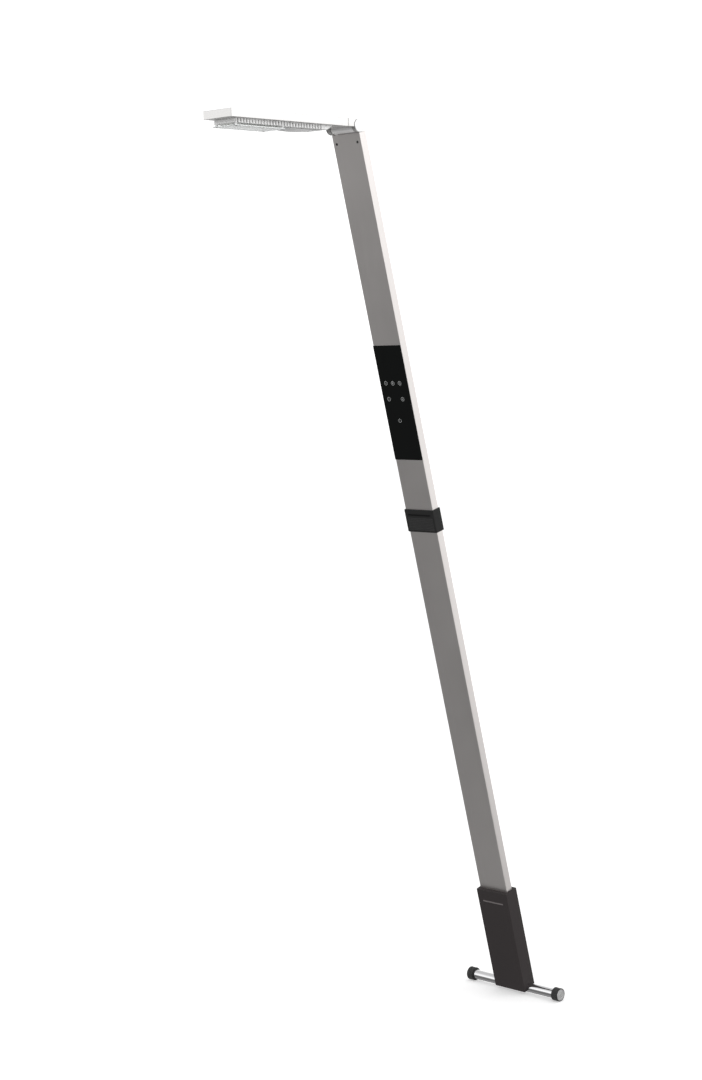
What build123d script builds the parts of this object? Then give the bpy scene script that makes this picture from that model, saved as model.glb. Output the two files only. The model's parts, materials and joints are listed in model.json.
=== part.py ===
from build123d import *
import math
import os

# Leaning desk-side floor lamp. Millimetres and degrees, +Z up. The origin is on the floor,
# under the middle of the foot bar. The bar lies along X, the mast leans towards -Y, and
# the head reaches out towards -Y from the mast's top.

# ---- Driving dimensions ----

LEAN = 16.4
HEAD_DROP = 2.05
CAP_R = 10.3

MAST_W = 53.4
MAST_T = 13.5
MAST_WALL = 1.6
MAST_CORNER = 0.9
MAST_TOP = 1350.6
MAST_FOOT = 118.0

HINGE_S = 1360.0
HINGE_T = 4.9
BARREL_R = 8.7
BARREL_HALF = 20.4
SHAFT_R = 4.0

BLOCK_W = 60.0
BLOCK_T = 26.0
BLOCK_WALL = 2.2
BLOCK_BOTTOM = -2.4
BLOCK_TOP = 168.4
BLOCK_EDGE = 1.0

BAR_R = 7.4
BAR_FIT = 0.02
BAR_END = 91.2
CAP_LENGTH = 11.4
DISC_R = 8.7

GLASS_LOW = 871.3
GLASS_HIGH = 1044.6
GLASS_T = 1.0

COLLAR_LOW = 759.3
COLLAR_HIGH = 793.9
COLLAR_W = 56.4
COLLAR_T = 17.2
COLLAR_CORNER = 0.8
COLLAR_GAP = 0.25
RIB_PITCH = 2.6
RIB_COUNT = 8

HEAD_W = 54.5
HEAD_TOP = 9.2
HEAD_BOTTOM = -2.15
HEAD_TIP = 243.7
HEAD_SEAM = 21.2
HEAD_WALL = 1.6

SINK_HALF = 21.6
SINK_TIP = 228.2
SINK_REAR = 46.0
SINK_RAMP = 11.5
SINK_BOTTOM = -8.6
SLOT_COUNT = 30
SLOT_FIRST = 225.4
SLOT_PITCH = 5.39
SLOT_WIDTH = 2.7

LENS_HALF = 21.4
LENS_REAR = 138.0
LENS_TIP = 233.0
LENS_TOP = -11.0
LENS_T = 1.6

# ---- Planes of the mast and the head ----

lean = math.radians(LEAN)
drop = math.radians(HEAD_DROP)
FORWARD = Vector(0, -math.cos(lean), -math.sin(lean))
ALONG = Vector(0, -math.sin(lean), math.cos(lean))
BAR_AXIS = Vector(0, 0, CAP_R)
HINGE = BAR_AXIS + FORWARD * HINGE_T + ALONG * HINGE_S
REACH = Vector(0, -math.cos(drop), -math.sin(drop))
HEAD_UP = Vector(0, -math.sin(drop), math.cos(drop))
RIGHT = Vector(1, 0, 0)

# Section of the mast: x across, y towards the back, z along the mast from the bar's axis
MAST = Plane(origin=BAR_AXIS, x_dir=RIGHT, z_dir=ALONG)
# Plan of the head: x across, y back from the tip towards the hinge, z up from the hinge
HEAD = Plane(origin=HINGE, x_dir=RIGHT, z_dir=HEAD_UP)


def mast_front(t):
    """Plane parallel to the mast's front face, t in front of its middle: x across, y along."""
    return Plane(origin=BAR_AXIS + FORWARD * t, x_dir=RIGHT, z_dir=FORWARD)


def mast_back(t):
    """Plane parallel to the mast's back face, t behind its middle: x across, y along."""
    return Plane(origin=BAR_AXIS - FORWARD * t, x_dir=-RIGHT, z_dir=-FORWARD)


def mast_side(x):
    """Plane across X through the mast: x is forward, y is along the mast, z is towards -X."""
    return Plane(origin=BAR_AXIS + RIGHT * x, x_dir=FORWARD, z_dir=-RIGHT)


def head_side(x):
    """Plane across X through the hinge: x is along the head, y is up, z is towards -X."""
    return Plane(origin=HINGE + RIGHT * x, x_dir=REACH, z_dir=-RIGHT)


def bar_side(x):
    """Plane across the foot bar at x, with its normal along +X."""
    return Plane(origin=BAR_AXIS + RIGHT * x, x_dir=(0, 1, 0), z_dir=RIGHT)


os.makedirs("parts", exist_ok=True)


def save(piece, name):
    """Label a finished piece and write its STEP file."""
    piece.part.label = name
    export_step(piece.part, "parts/" + name + ".step")


# ---- Mast ----

FRONT = MAST_T / 2
GLASS_MID = (GLASS_LOW + GLASS_HIGH) / 2
WINDOW_W = 40.0
WINDOW_L = 150.0
WINDOW_CORNER = 3.0
HINGE_SCREW_X = 20.0
HINGE_SCREW_S = 1337.7
SCREW_HEAD_R = 1.9
SCREW_R = 1.2
FOOT_SCREW_X = 15.0
FOOT_SCREW_S = 140.0

with BuildPart() as mast_tube:
    with BuildSketch(MAST.offset(MAST_FOOT)):
        RectangleRounded(MAST_W, MAST_T, MAST_CORNER)
        Rectangle(MAST_W - 2 * MAST_WALL, MAST_T - 2 * MAST_WALL, mode=Mode.SUBTRACT)
    extrude(amount=MAST_TOP - MAST_FOOT)
    # window behind the control glass
    with BuildSketch(mast_front(0)):
        with Locations((0, GLASS_MID)):
            RectangleRounded(WINDOW_W, WINDOW_L, WINDOW_CORNER)
    extrude(amount=MAST_T, mode=Mode.SUBTRACT)
    # holes of the two hinge screws, in front
    with BuildSketch(mast_front(0)):
        with Locations((-HINGE_SCREW_X, HINGE_SCREW_S), (HINGE_SCREW_X, HINGE_SCREW_S)):
            Circle(SCREW_HEAD_R)
    extrude(amount=MAST_T, mode=Mode.SUBTRACT)
    # holes of the two foot screws, behind
    with BuildSketch(mast_back(0)):
        with Locations((-FOOT_SCREW_X, FOOT_SCREW_S), (FOOT_SCREW_X, FOOT_SCREW_S)):
            Circle(SCREW_R)
    extrude(amount=MAST_T, mode=Mode.SUBTRACT)
save(mast_tube, "mast_tube")

PLUG_GAP = 0.1
PLUG_FOOT = 1322.0
NECK_HALF = 18.5
NECK_BACK = -6.2
NECK_FRONT = 2.0
NECK_ROOT = MAST_TOP - 2
NECK_STEP = MAST_TOP + 3.4
BORE_FIT = 0.06
PILOT_BACK = -2.0
KEY_R = 1.1
KEY_DEEP = 0.9
PLUG_W = MAST_W - 2 * MAST_WALL - 2 * PLUG_GAP
PLUG_T = MAST_T - 2 * MAST_WALL - 2 * PLUG_GAP

with BuildPart() as hinge_knuckle:
    with BuildSketch(MAST.offset(PLUG_FOOT)):
        Rectangle(PLUG_W, PLUG_T)
    extrude(amount=MAST_TOP - PLUG_FOOT)
    # neck behind the barrel
    with BuildSketch(mast_side(0)):
        Polygon(
            (NECK_BACK, NECK_ROOT),
            (NECK_FRONT, NECK_ROOT),
            (NECK_FRONT, NECK_STEP),
            (NECK_BACK / 2, HINGE_S + 2),
            (NECK_BACK, HINGE_S - 4),
            align=None,
        )
    extrude(amount=NECK_HALF, both=True)
    # barrel round the shaft
    with BuildSketch(head_side(0)):
        Circle(BARREL_R)
    extrude(amount=BARREL_HALF, both=True)
    with BuildSketch(head_side(0)):
        Circle(SHAFT_R + BORE_FIT)
    extrude(amount=MAST_W, both=True, mode=Mode.SUBTRACT)
    # the neck stays behind the mast tube's end, so it never stands in its walls
    with BuildSketch(MAST.offset(PLUG_FOOT - 1)):
        Rectangle(2 * MAST_W, 4 * MAST_T)
        Rectangle(PLUG_W, PLUG_T, mode=Mode.SUBTRACT)
    extrude(amount=MAST_TOP - PLUG_FOOT + 1, mode=Mode.SUBTRACT)
    # pilot holes of the hinge screws
    with BuildSketch(mast_front(PILOT_BACK)):
        with Locations((-HINGE_SCREW_X, HINGE_SCREW_S), (HINGE_SCREW_X, HINGE_SCREW_S)):
            Circle(SCREW_R)
    extrude(amount=MAST_T, mode=Mode.SUBTRACT)
save(hinge_knuckle, "hinge_knuckle")

with BuildPart() as hinge_screws:
    with BuildSketch(mast_front(PILOT_BACK + PLUG_GAP)):
        with Locations((-HINGE_SCREW_X, HINGE_SCREW_S), (HINGE_SCREW_X, HINGE_SCREW_S)):
            Circle(SCREW_R)
    extrude(amount=FRONT - PILOT_BACK - 3 * PLUG_GAP)
    with BuildSketch(mast_front(PLUG_T / 2)):
        with Locations((-HINGE_SCREW_X, HINGE_SCREW_S), (HINGE_SCREW_X, HINGE_SCREW_S)):
            Circle(SCREW_HEAD_R)
    extrude(amount=FRONT - PLUG_T / 2 - PLUG_GAP)
    with BuildSketch(mast_front(FRONT - KEY_DEEP)):
        with Locations((-HINGE_SCREW_X, HINGE_SCREW_S), (HINGE_SCREW_X, HINGE_SCREW_S)):
            RegularPolygon(KEY_R, 6)
    extrude(amount=2 * KEY_DEEP, mode=Mode.SUBTRACT)
save(hinge_screws, "hinge_screws")

LOOM_W = 8.0
LOOM_T = 0.8
LOOM_BACK = 2.5
LOOM_END = 3.0

with BuildPart() as wire_loom:
    with BuildSketch(MAST.offset(MAST_FOOT - LOOM_END)):
        with Locations((0, LOOM_BACK)):
            Rectangle(LOOM_W, LOOM_T)
    extrude(amount=PLUG_FOOT - MAST_FOOT + LOOM_END - 1)
save(wire_loom, "wire_loom")

# ---- Touch panel ----

GLASS_CORNER = 0.8
GLASS_EASE = 0.2
SPACER_GAP = 0.2

with BuildPart() as control_glass:
    with BuildSketch(mast_front(FRONT)):
        with Locations((0, GLASS_MID)):
            RectangleRounded(MAST_W, GLASS_HIGH - GLASS_LOW, GLASS_CORNER)
    extrude(amount=GLASS_T)
    chamfer(control_glass.faces().sort_by(lambda f: f.center().dot(FORWARD))[-1].edges(), GLASS_EASE)
save(control_glass, "control_glass")

BOARD_W = 36.0
BOARD_L = 140.0
BOARD_T = 1.2
BOARD_CORNER = 2.0

with BuildPart() as touch_board:
    with BuildSketch(mast_front(FRONT - BOARD_T - SPACER_GAP)):
        with Locations((0, GLASS_MID)):
            RectangleRounded(BOARD_W, BOARD_L, BOARD_CORNER)
    extrude(amount=BOARD_T)
save(touch_board, "touch_board")

SPACER_W = 39.0
SPACER_L = 148.0

with BuildPart() as touch_spacer:
    with BuildSketch(mast_front(FRONT - BOARD_T - SPACER_GAP)):
        with Locations((0, GLASS_MID)):
            RectangleRounded(SPACER_W, SPACER_L, BOARD_CORNER + SPACER_GAP)
            RectangleRounded(
                BOARD_W + SPACER_GAP, BOARD_L + SPACER_GAP, BOARD_CORNER, mode=Mode.SUBTRACT
            )
    extrude(amount=BOARD_T + SPACER_GAP)
save(touch_spacer, "touch_spacer")

# ---- Foot housing ----

SOCKET_S = 103.0
PLUG_OPEN_W = 10.4
PLUG_OPEN_H = 5.0
PLUG_OPEN_CORNER = 2.2
COVER_W = 44.0
COVER_LOW = 10.0
COVER_HIGH = 92.0
COVER_FIT = 0.15
COVER_CORNER = 3.0
MAST_FIT = 0.1
TOP_EDGE = 0.6
TOP_T = 6.0
INNER_W = BLOCK_W - 2 * BLOCK_WALL
INNER_T = BLOCK_T - 2 * BLOCK_WALL

with BuildPart() as foot_housing:
    with BuildSketch(MAST.offset(BLOCK_BOTTOM)):
        RectangleRounded(BLOCK_W, BLOCK_T, BLOCK_EDGE)
    extrude(amount=BLOCK_TOP - BLOCK_BOTTOM)
    fillet(foot_housing.faces().sort_by(Axis(BAR_AXIS, ALONG))[-1].edges(), TOP_EDGE)
    with BuildSketch(MAST.offset(BLOCK_BOTTOM)):
        Rectangle(INNER_W, INNER_T)
    extrude(amount=BLOCK_TOP - BLOCK_BOTTOM - TOP_T, mode=Mode.SUBTRACT)
    with BuildSketch(MAST.offset(MAST_FOOT)):
        RectangleRounded(MAST_W + 2 * MAST_FIT, MAST_T + 2 * MAST_FIT, MAST_CORNER)
    extrude(amount=MAST_TOP, mode=Mode.SUBTRACT)
    # the bar's way through
    with BuildSketch(bar_side(0)):
        Circle(BAR_R + BAR_FIT)
    extrude(amount=BLOCK_W, both=True, mode=Mode.SUBTRACT)
    # opening of the back cover, of the charging socket, and of the two foot screws
    with BuildSketch(mast_back(0)):
        with Locations((0, (COVER_LOW + COVER_HIGH) / 2)):
            RectangleRounded(COVER_W, COVER_HIGH - COVER_LOW, COVER_CORNER)
        with Locations((0, SOCKET_S)):
            RectangleRounded(PLUG_OPEN_W, PLUG_OPEN_H, PLUG_OPEN_CORNER)
        with Locations((-FOOT_SCREW_X, FOOT_SCREW_S), (FOOT_SCREW_X, FOOT_SCREW_S)):
            Circle(2 * SCREW_R)
    extrude(amount=BLOCK_T, mode=Mode.SUBTRACT)
save(foot_housing, "foot_housing")

LEDGE_S = 149.0
LEDGE_W = 40.0
LEDGE_RISE = 1.6
LEDGE_OUT = 0.9
LEDGE_LIP = 0.5

with BuildPart() as front_ledge:
    with BuildSketch(mast_side(0)):
        Polygon(
            (BLOCK_T / 2, LEDGE_S + LEDGE_RISE),
            (BLOCK_T / 2 + LEDGE_OUT, LEDGE_S),
            (BLOCK_T / 2 + LEDGE_OUT, LEDGE_S - LEDGE_LIP),
            (BLOCK_T / 2, LEDGE_S - LEDGE_LIP),
            align=None,
        )
    extrude(amount=LEDGE_W / 2, both=True)
save(front_ledge, "front_ledge")

SADDLE_TOP = 9.6

with BuildPart() as bar_saddle:
    with BuildSketch(MAST.offset(BLOCK_BOTTOM)):
        Rectangle(INNER_W, INNER_T)
    extrude(amount=SADDLE_TOP - BLOCK_BOTTOM)
    with BuildSketch(bar_side(0)):
        Circle(BAR_R + BAR_FIT)
    extrude(amount=BLOCK_W, both=True, mode=Mode.SUBTRACT)
    with BuildSketch(MAST):
        with Locations((-FOOT_SCREW_X, 0), (FOOT_SCREW_X, 0)):
            Circle(SCREW_R)
    extrude(amount=2 * SADDLE_TOP, mode=Mode.SUBTRACT)
save(bar_saddle, "bar_saddle")

BAR_SCREW_HEAD_R = 2.8
BAR_SCREW_SEAT = -4.0
BAR_SCREW_HEAD_T = 1.8
BAR_SCREW_KEY_R = 1.4
BAR_SCREW_KEY_DEEP = 1.0
BAR_SCREW_BITE = 3.0
BAR_INSET = 1.2
BAR_EASE = 0.5

with BuildPart() as foot_bar:
    with BuildSketch(bar_side(0)):
        Circle(BAR_R)
    extrude(amount=BAR_END - BAR_INSET, both=True)
    chamfer(foot_bar.edges(), BAR_EASE)
    with BuildSketch(MAST.offset(-2 * BAR_R)):
        with Locations((-FOOT_SCREW_X, 0), (FOOT_SCREW_X, 0)):
            Circle(SCREW_R)
    extrude(amount=4 * BAR_R, mode=Mode.SUBTRACT)
    with BuildSketch(MAST.offset(-2 * BAR_R)):
        with Locations((-FOOT_SCREW_X, 0), (FOOT_SCREW_X, 0)):
            Circle(BAR_SCREW_HEAD_R)
    extrude(amount=2 * BAR_R + BAR_SCREW_SEAT, mode=Mode.SUBTRACT)
save(foot_bar, "foot_bar")

with BuildPart() as bar_screws:
    with BuildSketch(MAST.offset(BAR_SCREW_SEAT)):
        with Locations((-FOOT_SCREW_X, 0), (FOOT_SCREW_X, 0)):
            Circle(SCREW_R)
    extrude(amount=SADDLE_TOP + BAR_SCREW_BITE)
    with BuildSketch(MAST.offset(BAR_SCREW_SEAT - BAR_SCREW_HEAD_T)):
        with Locations((-FOOT_SCREW_X, 0), (FOOT_SCREW_X, 0)):
            Circle(BAR_SCREW_HEAD_R)
    extrude(amount=BAR_SCREW_HEAD_T)
    with BuildSketch(MAST.offset(BAR_SCREW_SEAT - BAR_SCREW_HEAD_T)):
        with Locations((-FOOT_SCREW_X, 0), (FOOT_SCREW_X, 0)):
            RegularPolygon(BAR_SCREW_KEY_R, 6)
    extrude(amount=BAR_SCREW_KEY_DEEP, mode=Mode.SUBTRACT)
save(bar_screws, "bar_screws")

CAP_RECESS = 0.7
DISC_PROUD = 0.2

for side, name in ((-1, "rubber_cap_left"), (1, "rubber_cap_right")):
    with BuildPart() as rubber_cap:
        with BuildSketch(bar_side(side * (BAR_END - CAP_LENGTH))):
            Circle(CAP_R)
        extrude(amount=side * CAP_LENGTH)
        chamfer(rubber_cap.edges(), BAR_EASE)
        with BuildSketch(bar_side(side * (BAR_END - CAP_LENGTH))):
            Circle(BAR_R)
        extrude(amount=side * (CAP_LENGTH - BAR_INSET), mode=Mode.SUBTRACT)
        with BuildSketch(bar_side(side * (BAR_END - CAP_RECESS))):
            Circle(DISC_R)
        extrude(amount=side * CAP_LENGTH, mode=Mode.SUBTRACT)
    save(rubber_cap, name)

with BuildPart() as cap_discs:
    for side in (-1, 1):
        with BuildSketch(bar_side(side * (BAR_END - CAP_RECESS))):
            Circle(DISC_R)
        extrude(amount=side * (CAP_RECESS + DISC_PROUD))
save(cap_discs, "cap_discs")

# ---- Inside the foot ----

CELL_R = 9.2
CELL_L = 65.0
CELL_LOW = 18.0
CELL_PITCH = 18.5
CRADLE_PLATE = 5.5
COVER_SCREW_X = 18.0
CONTACT_T = 0.4
CONTACT_W = 8.0
CONTACT_END = 6.0
CRADLE_FIT = 0.2
CELL_HIGH = CELL_LOW + CELL_L
WEB_T = 1.2
COVER_SCREW_LOW = CELL_LOW - CONTACT_T - CRADLE_PLATE / 2
COVER_SCREW_HIGH = CELL_HIGH + CONTACT_T + CRADLE_PLATE / 2
COVER_SCREW_R = 1.0
COVER_SCREW_BITE = 6.0
COVER_HEAD_R = 2.1
COVER_HEAD_T = 1.1
COVER_SINK = 1.3
COVER_KEY_R = 1.2
COVER_KEY_SEAT = 0.9
COVER_SCREWS = [
    (x, s) for x in (-COVER_SCREW_X, COVER_SCREW_X) for s in (COVER_SCREW_LOW, COVER_SCREW_HIGH)
]

with BuildPart() as battery_cells:
    with BuildSketch(MAST.offset(CELL_LOW)):
        with GridLocations(CELL_PITCH, 0, 3, 1):
            Circle(CELL_R)
    extrude(amount=CELL_L)
save(battery_cells, "battery_cells")

with BuildPart() as cell_contacts:
    for level in (CELL_LOW - CONTACT_T, CELL_HIGH):
        with BuildSketch(MAST.offset(level)):
            Rectangle(2 * (CELL_PITCH + CONTACT_END), CONTACT_W)
        extrude(amount=CONTACT_T)
save(cell_contacts, "cell_contacts")

with BuildPart() as cell_cradle:
    for level in (CELL_LOW - CONTACT_T - CRADLE_PLATE, CELL_HIGH + CONTACT_T):
        with BuildSketch(MAST.offset(level)):
            Rectangle(INNER_W - 2 * CRADLE_FIT, INNER_T - 2 * CRADLE_FIT)
        extrude(amount=CRADLE_PLATE)
    with BuildSketch(MAST.offset(CELL_LOW - CONTACT_T)):
        with Locations((0, INNER_T / 2 - CRADLE_FIT - WEB_T / 2)):
            Rectangle(INNER_W - 2 * CRADLE_FIT, WEB_T)
    extrude(amount=CELL_L + 2 * CONTACT_T)
    with BuildSketch(mast_back(INNER_T / 2 - COVER_SCREW_BITE - 1)):
        with Locations(*COVER_SCREWS):
            Circle(COVER_SCREW_R)
    extrude(amount=BLOCK_T, mode=Mode.SUBTRACT)
save(cell_cradle, "cell_cradle")

with BuildPart() as foot_back_cover:
    with BuildSketch(mast_back(INNER_T / 2)):
        with Locations((0, (COVER_LOW + COVER_HIGH) / 2)):
            RectangleRounded(
                COVER_W - 2 * COVER_FIT, COVER_HIGH - COVER_LOW - 2 * COVER_FIT, COVER_CORNER - COVER_FIT
            )
    extrude(amount=BLOCK_WALL)
    with BuildSketch(mast_back(0)):
        with Locations(*COVER_SCREWS):
            Circle(COVER_SCREW_R)
    extrude(amount=BLOCK_T, mode=Mode.SUBTRACT)
    with BuildSketch(mast_back(BLOCK_T / 2 - COVER_SINK)):
        with Locations(*COVER_SCREWS):
            Circle(COVER_HEAD_R)
    extrude(amount=BLOCK_T, mode=Mode.SUBTRACT)
save(foot_back_cover, "foot_back_cover")

with BuildPart() as cover_screws:
    with BuildSketch(mast_back(INNER_T / 2 - COVER_SCREW_BITE)):
        with Locations(*COVER_SCREWS):
            Circle(COVER_SCREW_R)
    extrude(amount=(BLOCK_T - INNER_T) / 2 - COVER_SINK + COVER_SCREW_BITE)
    with BuildSketch(mast_back(BLOCK_T / 2 - COVER_SINK)):
        with Locations(*COVER_SCREWS):
            Circle(COVER_HEAD_R)
    extrude(amount=COVER_HEAD_T)
    with BuildSketch(mast_back(BLOCK_T / 2 - COVER_KEY_SEAT)):
        with Locations(*COVER_SCREWS):
            RegularPolygon(COVER_KEY_R, 6)
    extrude(amount=BLOCK_T, mode=Mode.SUBTRACT)
save(cover_screws, "cover_screws")

SHELL_W = 9.0
SHELL_H = 3.3
SHELL_DEEP = 7.5
SHELL_WALL = 0.4
SHELL_BACK = BLOCK_T / 2 - 1.0
SHELL_CORNER = 1.6
SHELL_FLOOR = 1.2
TONGUE_W = 6.6
TONGUE_T = 0.7
CHARGE_BOARD_W = 46.0
CHARGE_BOARD_H = 20.0
CHARGE_BOARD_T = 1.6

with BuildPart() as charge_socket:
    with BuildSketch(mast_back(SHELL_BACK - SHELL_DEEP)):
        with Locations((0, SOCKET_S)):
            RectangleRounded(SHELL_W, SHELL_H, SHELL_CORNER)
    extrude(amount=SHELL_DEEP)
    with BuildSketch(mast_back(SHELL_BACK - SHELL_DEEP + SHELL_FLOOR)):
        with Locations((0, SOCKET_S)):
            RectangleRounded(SHELL_W - 2 * SHELL_WALL, SHELL_H - 2 * SHELL_WALL, SHELL_CORNER - SHELL_WALL)
            Rectangle(TONGUE_W, TONGUE_T, mode=Mode.SUBTRACT)
    extrude(amount=SHELL_DEEP, mode=Mode.SUBTRACT)
save(charge_socket, "charge_socket")

with BuildPart() as charge_board:
    with BuildSketch(mast_back(SHELL_BACK - SHELL_DEEP - CHARGE_BOARD_T)):
        with Locations((0, SOCKET_S)):
            Rectangle(CHARGE_BOARD_W, CHARGE_BOARD_H)
    extrude(amount=CHARGE_BOARD_T)
save(charge_board, "charge_board")

SOCKET_FLOOR = MAST_FOOT - 2
SOCKET_FIT = 0.1
LOOM_HOLE_W = 14.0
LOOM_HOLE_T = 8.0
CLAMP_BITE = 1.0
CLAMP_HEAD_R = 2.35
CLAMP_HEAD_SINK = 0.3
CLAMP_KEY_R = 1.3
CLAMP_KEY_SEAT = 1.3

with BuildPart() as mast_socket:
    with BuildSketch(MAST.offset(SOCKET_FLOOR)):
        Rectangle(INNER_W - 2 * SOCKET_FIT, INNER_T - 2 * SOCKET_FIT)
    extrude(amount=BLOCK_TOP - TOP_T - SOCKET_FLOOR)
    with BuildSketch(MAST.offset(MAST_FOOT)):
        RectangleRounded(MAST_W + SOCKET_FIT, MAST_T + SOCKET_FIT, MAST_CORNER)
    extrude(amount=MAST_TOP, mode=Mode.SUBTRACT)
    with BuildSketch(MAST.offset(SOCKET_FLOOR - 1)):
        Rectangle(LOOM_HOLE_W, LOOM_HOLE_T)
    extrude(amount=4, mode=Mode.SUBTRACT)
    with BuildSketch(mast_back(0)):
        with Locations((-FOOT_SCREW_X, FOOT_SCREW_S), (FOOT_SCREW_X, FOOT_SCREW_S)):
            Circle(SCREW_R)
    extrude(amount=BLOCK_T, mode=Mode.SUBTRACT)
save(mast_socket, "mast_socket")

with BuildPart() as mast_screws:
    with BuildSketch(mast_back(MAST_T / 2 - MAST_WALL - CLAMP_BITE)):
        with Locations((-FOOT_SCREW_X, FOOT_SCREW_S), (FOOT_SCREW_X, FOOT_SCREW_S)):
            Circle(SCREW_R)
    extrude(amount=(INNER_T - MAST_T) / 2 + MAST_WALL + CLAMP_BITE)
    with BuildSketch(mast_back(INNER_T / 2)):
        with Locations((-FOOT_SCREW_X, FOOT_SCREW_S), (FOOT_SCREW_X, FOOT_SCREW_S)):
            Circle(CLAMP_HEAD_R)
    extrude(amount=BLOCK_WALL - CLAMP_HEAD_SINK)
    with BuildSketch(mast_back(BLOCK_T / 2 - CLAMP_KEY_SEAT)):
        with Locations((-FOOT_SCREW_X, FOOT_SCREW_S), (FOOT_SCREW_X, FOOT_SCREW_S)):
            RegularPolygon(CLAMP_KEY_R, 6)
    extrude(amount=BLOCK_T, mode=Mode.SUBTRACT)
save(mast_screws, "mast_screws")

# ---- Collar that rests on the desk's edge ----

COLLAR_FRONT = COLLAR_T / 2
PAD_W = 50.0
PAD_LOW = COLLAR_LOW + 1.9
PAD_HIGH = PAD_LOW + RIB_COUNT * RIB_PITCH
PAD_BACK = MAST_T / 2 + COLLAR_GAP
RIB_RISE = 0.5
RIB_PROUD = 0.1
RIB_ROOT = 0.05
GROOVE_S = 785.7
GROOVE_W = PAD_W - 6
GROOVE_H = 2.0
GROOVE_DEEP = 1.1
COLLAR_EDGE = 0.35

with BuildPart() as collar_sleeve:
    with BuildSketch(MAST.offset(COLLAR_LOW)):
        RectangleRounded(COLLAR_W, COLLAR_T, COLLAR_CORNER)
    extrude(amount=COLLAR_HIGH - COLLAR_LOW)
    chamfer(collar_sleeve.faces().filter_by(Axis(BAR_AXIS, ALONG)).edges(), COLLAR_EDGE)
    with BuildSketch(MAST.offset(COLLAR_LOW - 1)):
        RectangleRounded(MAST_W + 2 * COLLAR_GAP, MAST_T + 2 * COLLAR_GAP, MAST_CORNER)
    extrude(amount=COLLAR_HIGH - COLLAR_LOW + 2, mode=Mode.SUBTRACT)
    # window of the grip pad, and the groove above it
    with BuildSketch(mast_front(0)):
        with Locations((0, (PAD_LOW + PAD_HIGH) / 2)):
            Rectangle(PAD_W, PAD_HIGH - PAD_LOW)
    extrude(amount=COLLAR_T, mode=Mode.SUBTRACT)
    with BuildSketch(mast_front(COLLAR_FRONT - GROOVE_DEEP)):
        with Locations((0, GROOVE_S)):
            Rectangle(GROOVE_W, GROOVE_H)
    extrude(amount=COLLAR_T, mode=Mode.SUBTRACT)
save(collar_sleeve, "collar_sleeve")

with BuildPart() as collar_grip_pad:
    with BuildSketch(mast_front(PAD_BACK)):
        with Locations((0, (PAD_LOW + PAD_HIGH) / 2)):
            Rectangle(PAD_W, PAD_HIGH - PAD_LOW)
    extrude(amount=COLLAR_FRONT - PAD_BACK - RIB_RISE)
    with BuildSketch(mast_front(COLLAR_FRONT - RIB_RISE - RIB_ROOT)):
        with Locations((0, (PAD_LOW + PAD_HIGH) / 2)):
            with GridLocations(0, RIB_PITCH, 1, RIB_COUNT):
                Rectangle(PAD_W, RIB_PITCH / 2)
    extrude(amount=RIB_ROOT + RIB_RISE + RIB_PROUD)
save(collar_grip_pad, "collar_grip_pad")

# ---- Head housing ----

HEAD_MID = (HEAD_SEAM + HEAD_TIP) / 2
SEAM_GAP = 0.25
HEAD_ROOF = 1.8
HEAD_CORNER = 0.8
HEAD_EDGE = 0.6
FLOOR_T = 1.4

with BuildPart() as head_housing:
    with BuildSketch(HEAD.offset(HEAD_BOTTOM)):
        with Locations((0, -HEAD_MID)):
            RectangleRounded(HEAD_W, HEAD_TIP - HEAD_SEAM, HEAD_CORNER)
    extrude(amount=HEAD_TOP - HEAD_BOTTOM)
    fillet(head_housing.faces().sort_by(Axis(HINGE, HEAD_UP))[-1].edges(), HEAD_EDGE)
    with BuildSketch(HEAD.offset(HEAD_BOTTOM)):
        with Locations((0, -HEAD_MID)):
            Rectangle(HEAD_W - 2 * HEAD_WALL, HEAD_TIP - HEAD_SEAM - 2 * HEAD_WALL)
    extrude(amount=HEAD_TOP - HEAD_BOTTOM - HEAD_ROOF, mode=Mode.SUBTRACT)
save(head_housing, "head_housing")

FLOOR_GAP = 0.1
FLOOR_W = HEAD_W - 2 * (HEAD_WALL + FLOOR_GAP)
FLOOR_L = HEAD_TIP - HEAD_SEAM - 2 * (HEAD_WALL + FLOOR_GAP)
FLOOR_HEAD_R = 1.5
FLOOR_SHANK_R = 0.9
FLOOR_SCREW_L = 6.0
FLOOR_KEY_R = 0.8
FLOOR_KEY_DEEP = 0.7
FLOOR_SCREWS = [(x, -h) for x in (-23.4, 23.4) for h in (30.0, 130.0, 236.0)]

with BuildPart() as head_floor:
    with BuildSketch(HEAD.offset(HEAD_BOTTOM)):
        with Locations((0, -HEAD_MID)):
            Rectangle(FLOOR_W, FLOOR_L)
    extrude(amount=FLOOR_T)
    with BuildSketch(HEAD.offset(HEAD_BOTTOM)):
        with Locations(*FLOOR_SCREWS):
            Circle(FLOOR_HEAD_R)
    extrude(amount=FLOOR_T, mode=Mode.SUBTRACT)
save(head_floor, "head_floor")

with BuildPart() as floor_screws:
    with BuildSketch(HEAD.offset(HEAD_BOTTOM + FLOOR_GAP)):
        with Locations(*FLOOR_SCREWS):
            Circle(FLOOR_HEAD_R)
    extrude(amount=FLOOR_T - FLOOR_GAP)
    with BuildSketch(HEAD.offset(HEAD_BOTTOM + FLOOR_GAP)):
        with Locations(*FLOOR_SCREWS):
            Circle(FLOOR_SHANK_R)
    extrude(amount=FLOOR_SCREW_L)
    with BuildSketch(HEAD.offset(HEAD_BOTTOM)):
        with Locations(*FLOOR_SCREWS):
            RegularPolygon(FLOOR_KEY_R, 6)
    extrude(amount=FLOOR_KEY_DEEP, mode=Mode.SUBTRACT)
save(floor_screws, "floor_screws")

POST_R = 2.2

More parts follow.
